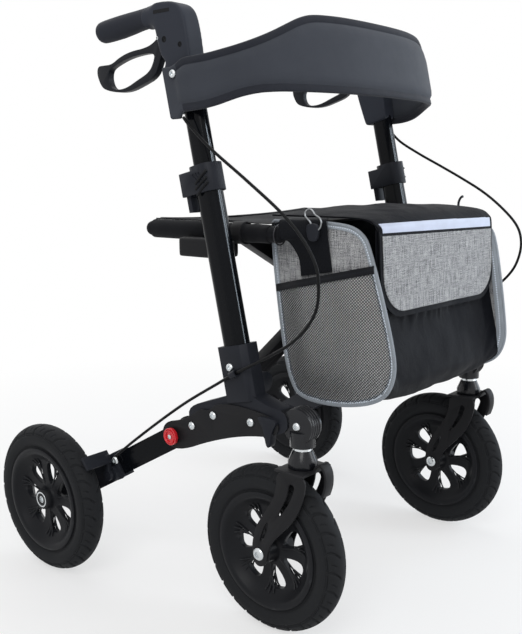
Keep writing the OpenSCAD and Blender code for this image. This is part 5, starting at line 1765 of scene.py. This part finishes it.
        band = sheet_piece(f"{side}_pocket_band", 60, 6, place, lambda u, v: (u * 0.2, v))
        sewn(band, 0.0016, "elastic")

    def strap(self, side, sign):
        """The hanger strap from a rail's end to its side panel, with ring, tab and snap hook."""
        rear, fore = (routed([Vector(p) for p in edge], 6) for edge in (STRAP_REAR, STRAP_FRONT))
        rows = len(rear) - 1

        def place(u, v):
            k = int(round(u * rows))
            p = rear[k].lerp(fore[k], v)
            swell = 1.2 * math.sin(math.pi * v) * math.sin(math.pi * u)
            return Vector((sign * (p.x + swell), p.y, p.z)) * MM

        patch = sheet_piece(f"{side}_bag_strap", rows, 14, place, lambda u, v: (u * 0.09, v * 0.05))
        sewn(patch, 0.002, "webbing")

        up, across = Vector((0, 0, 1)), Vector((1, 0, 0))
        loop = ring_run(Vector((sign * RAIL_X, -168, RAIL_Z)) * MM, up, across, 0.0145, 36)
        loop = rod(f"{side}_rail_ring", loop, 0.0022, 8, True, FINISHES["dark_steel"])
        dressed(loop, body_name(f"{side}_seat_rail"), "bolt")
        drop_by = 0 if side == "right" else 18
        hook = [Vector((sign * x, y, z - drop_by)) * MM for x, y, z in HOOK_RUN]
        hook = rod(f"{side}_snap_hook", routed(hook, 5), 0.0026, 10, False, FINISHES["hook"])
        dressed(hook, "seat", "bolt")
        tab = rounds([Vector(p) * MM for p in TAB_OUTLINE], 2)
        x = sign * TAB_X
        tab = flat_piece(f"{side}_hook_tab", tab, (x - 0.003, x + 0.003), 0.002, 3)
        tab.data.transform(Matrix.Translation((0, 0, -drop_by * MM)))
        painted(smooth(tab, 40), FINISHES["moulding"])
        dressed(tab, "seat", "plastic")


class ROLLATOR_OT_cover(bpy.types.Operator):
    """Sew the bag's cover with its reflective strip and heather front"""
    bl_idname = "rollator.cover"
    bl_label = "Bag cover"

    half = 171.0
    corner = 52.0
    count = 120

    def execute(self, context):
        run = routed([Vector(p) for p in LID_LINE], 12)
        self.run = evened(run, self.count + 1, closed=False)
        self.long = length_of(self.run)
        bend = min(range(self.count), key=lambda k: abs(self.run[k].y - 588))
        self.bend = self.long * bend / self.count

        def cut(x, half):
            """How much shorter the cover is at a place across its rounded corners."""
            over = abs(x) - (half - self.corner)
            return 0 if over <= 0 else self.corner - math.sqrt(max(self.corner ** 2 - over ** 2, 0))

        def whole(u, v):
            x = (v - 0.5) * 2 * self.half
            return u * (self.long - 3 - cut(x, self.half) + 3 * x / self.half), x

        def front(u, v):
            x = 1 + (v - 0.5) * 2 * 165
            top = self.bend + 13.0 + hang(x)
            return top + (self.long - 11.0 - cut(x, 165) + 3 * x / self.half - top) * u, x

        def band(u, v):
            x = (v - 0.5) * 326
            return self.bend - 5 + hang(x) + 14.0 * u, x

        def hang(x):
            """How much lower the trim sits towards the far side."""
            return 1.0 + 4.5 * x / self.half

        lid = self.panel("bag_lid", 120, 90, whole, 0.0)
        sewn(lid, 0.0022, "bag", "bag_cover", "cover_cloth", "bag_flap")
        sewn(self.panel("cover_strip", 8, 60, band, 1.5), 0.0007, "strip", "bag_cover", "cover_cloth")
        sewn(self.panel("cover_front", 70, 80, front, 1.7), 0.0012, "heather", "bag_cover", "cover_cloth")
        self.far_hook()
        return {"FINISHED"}

    def panel(self, name, nu, nv, spread, lift):
        """A sheet that lies on the cover's run, lift above it."""
        crown = sizes().lid_crown / MM

        def place(u, v):
            at, x = spread(u, v)
            k = min(max(at / self.long * self.count, 0), self.count - 0.001)
            i = int(k)
            p = self.run[i].lerp(self.run[i + 1], k - i)
            t = (self.run[i + 1] - self.run[i]).normalized()
            n = Vector((t.y, -t.x))
            held = max(0.0, math.cos(math.pi * x / (2 * self.half))) ** 0.6
            top = ease(at / 40) * ease((self.bend + 4 - at) / 50)
            fold = noise.noise(Vector((x * 0.016 + at * 0.006, at * 0.021, 7.0)))
            ridge = 1 - abs(noise.noise(Vector((x * 0.012 - at * 0.011, at * 0.016 + x * 0.008, 2.0)))) * 2
            rise = top * (crown + 2.4 * fold + 2.6 * ridge - 1.2) * held
            low = ease((at - self.bend - 20) / 60)
            rise += low * (1.4 * noise.noise(Vector((x * 0.014, at * 0.01, 11.0))) + 0.6) * held
            q = p + n * (max(rise, -1.0) + lift)
            return Vector((x, q.x, q.y)) * MM

        return sheet_piece(name, nu, nv, place, lambda u, v: Vector(spread(u, v)).yx * MM)

    def far_hook(self):
        """A small plastic hook on the cover's far rear corner."""
        hook = [Vector((160, y, z)) * MM for y, z in COVER_HOOK]
        piece = rod("cover_hook", routed(hook, 6), 0.0042, 10, False, FINISHES["moulding"])
        dressed(piece, "bag_cover", "plastic")


PIECES = (
    ROLLATOR_OT_stage, ROLLATOR_OT_cables, ROLLATOR_OT_tyres, ROLLATOR_OT_rims, ROLLATOR_OT_frame,
    ROLLATOR_OT_bolts, ROLLATOR_OT_handles, ROLLATOR_OT_backrest, ROLLATOR_OT_seat, ROLLATOR_OT_bag,
    ROLLATOR_OT_cover,
)


class ROLLATOR_PT_panel(bpy.types.Panel):
    bl_label = "Rollator"
    bl_idname = "ROLLATOR_PT_panel"
    bl_space_type = "VIEW_3D"
    bl_region_type = "UI"
    bl_category = "Rollator"

    def draw(self, context):
        for group in (context.scene.rollator_sizes, context.scene.rollator_colours):
            for key in group.__annotations__:
                self.layout.prop(group, key)
        for piece in PIECES:
            self.layout.operator(piece.bl_idname)


CLASSES = (RollatorSizes, RollatorColours, *PIECES, ROLLATOR_PT_panel)


def register():
    for kind in CLASSES:
        bpy.utils.register_class(kind)
    bpy.types.Scene.rollator_sizes = PointerProperty(type=RollatorSizes)
    bpy.types.Scene.rollator_colours = PointerProperty(type=RollatorColours)


def unregister():
    del bpy.types.Scene.rollator_colours
    del bpy.types.Scene.rollator_sizes
    for kind in reversed(CLASSES):
        bpy.utils.unregister_class(kind)


def main():
    register()
    make_finishes()
    for piece in PIECES:
        group, call = piece.bl_idname.split(".")
        getattr(getattr(bpy.ops, group), call)()


if __name__ == "__main__":
    main()
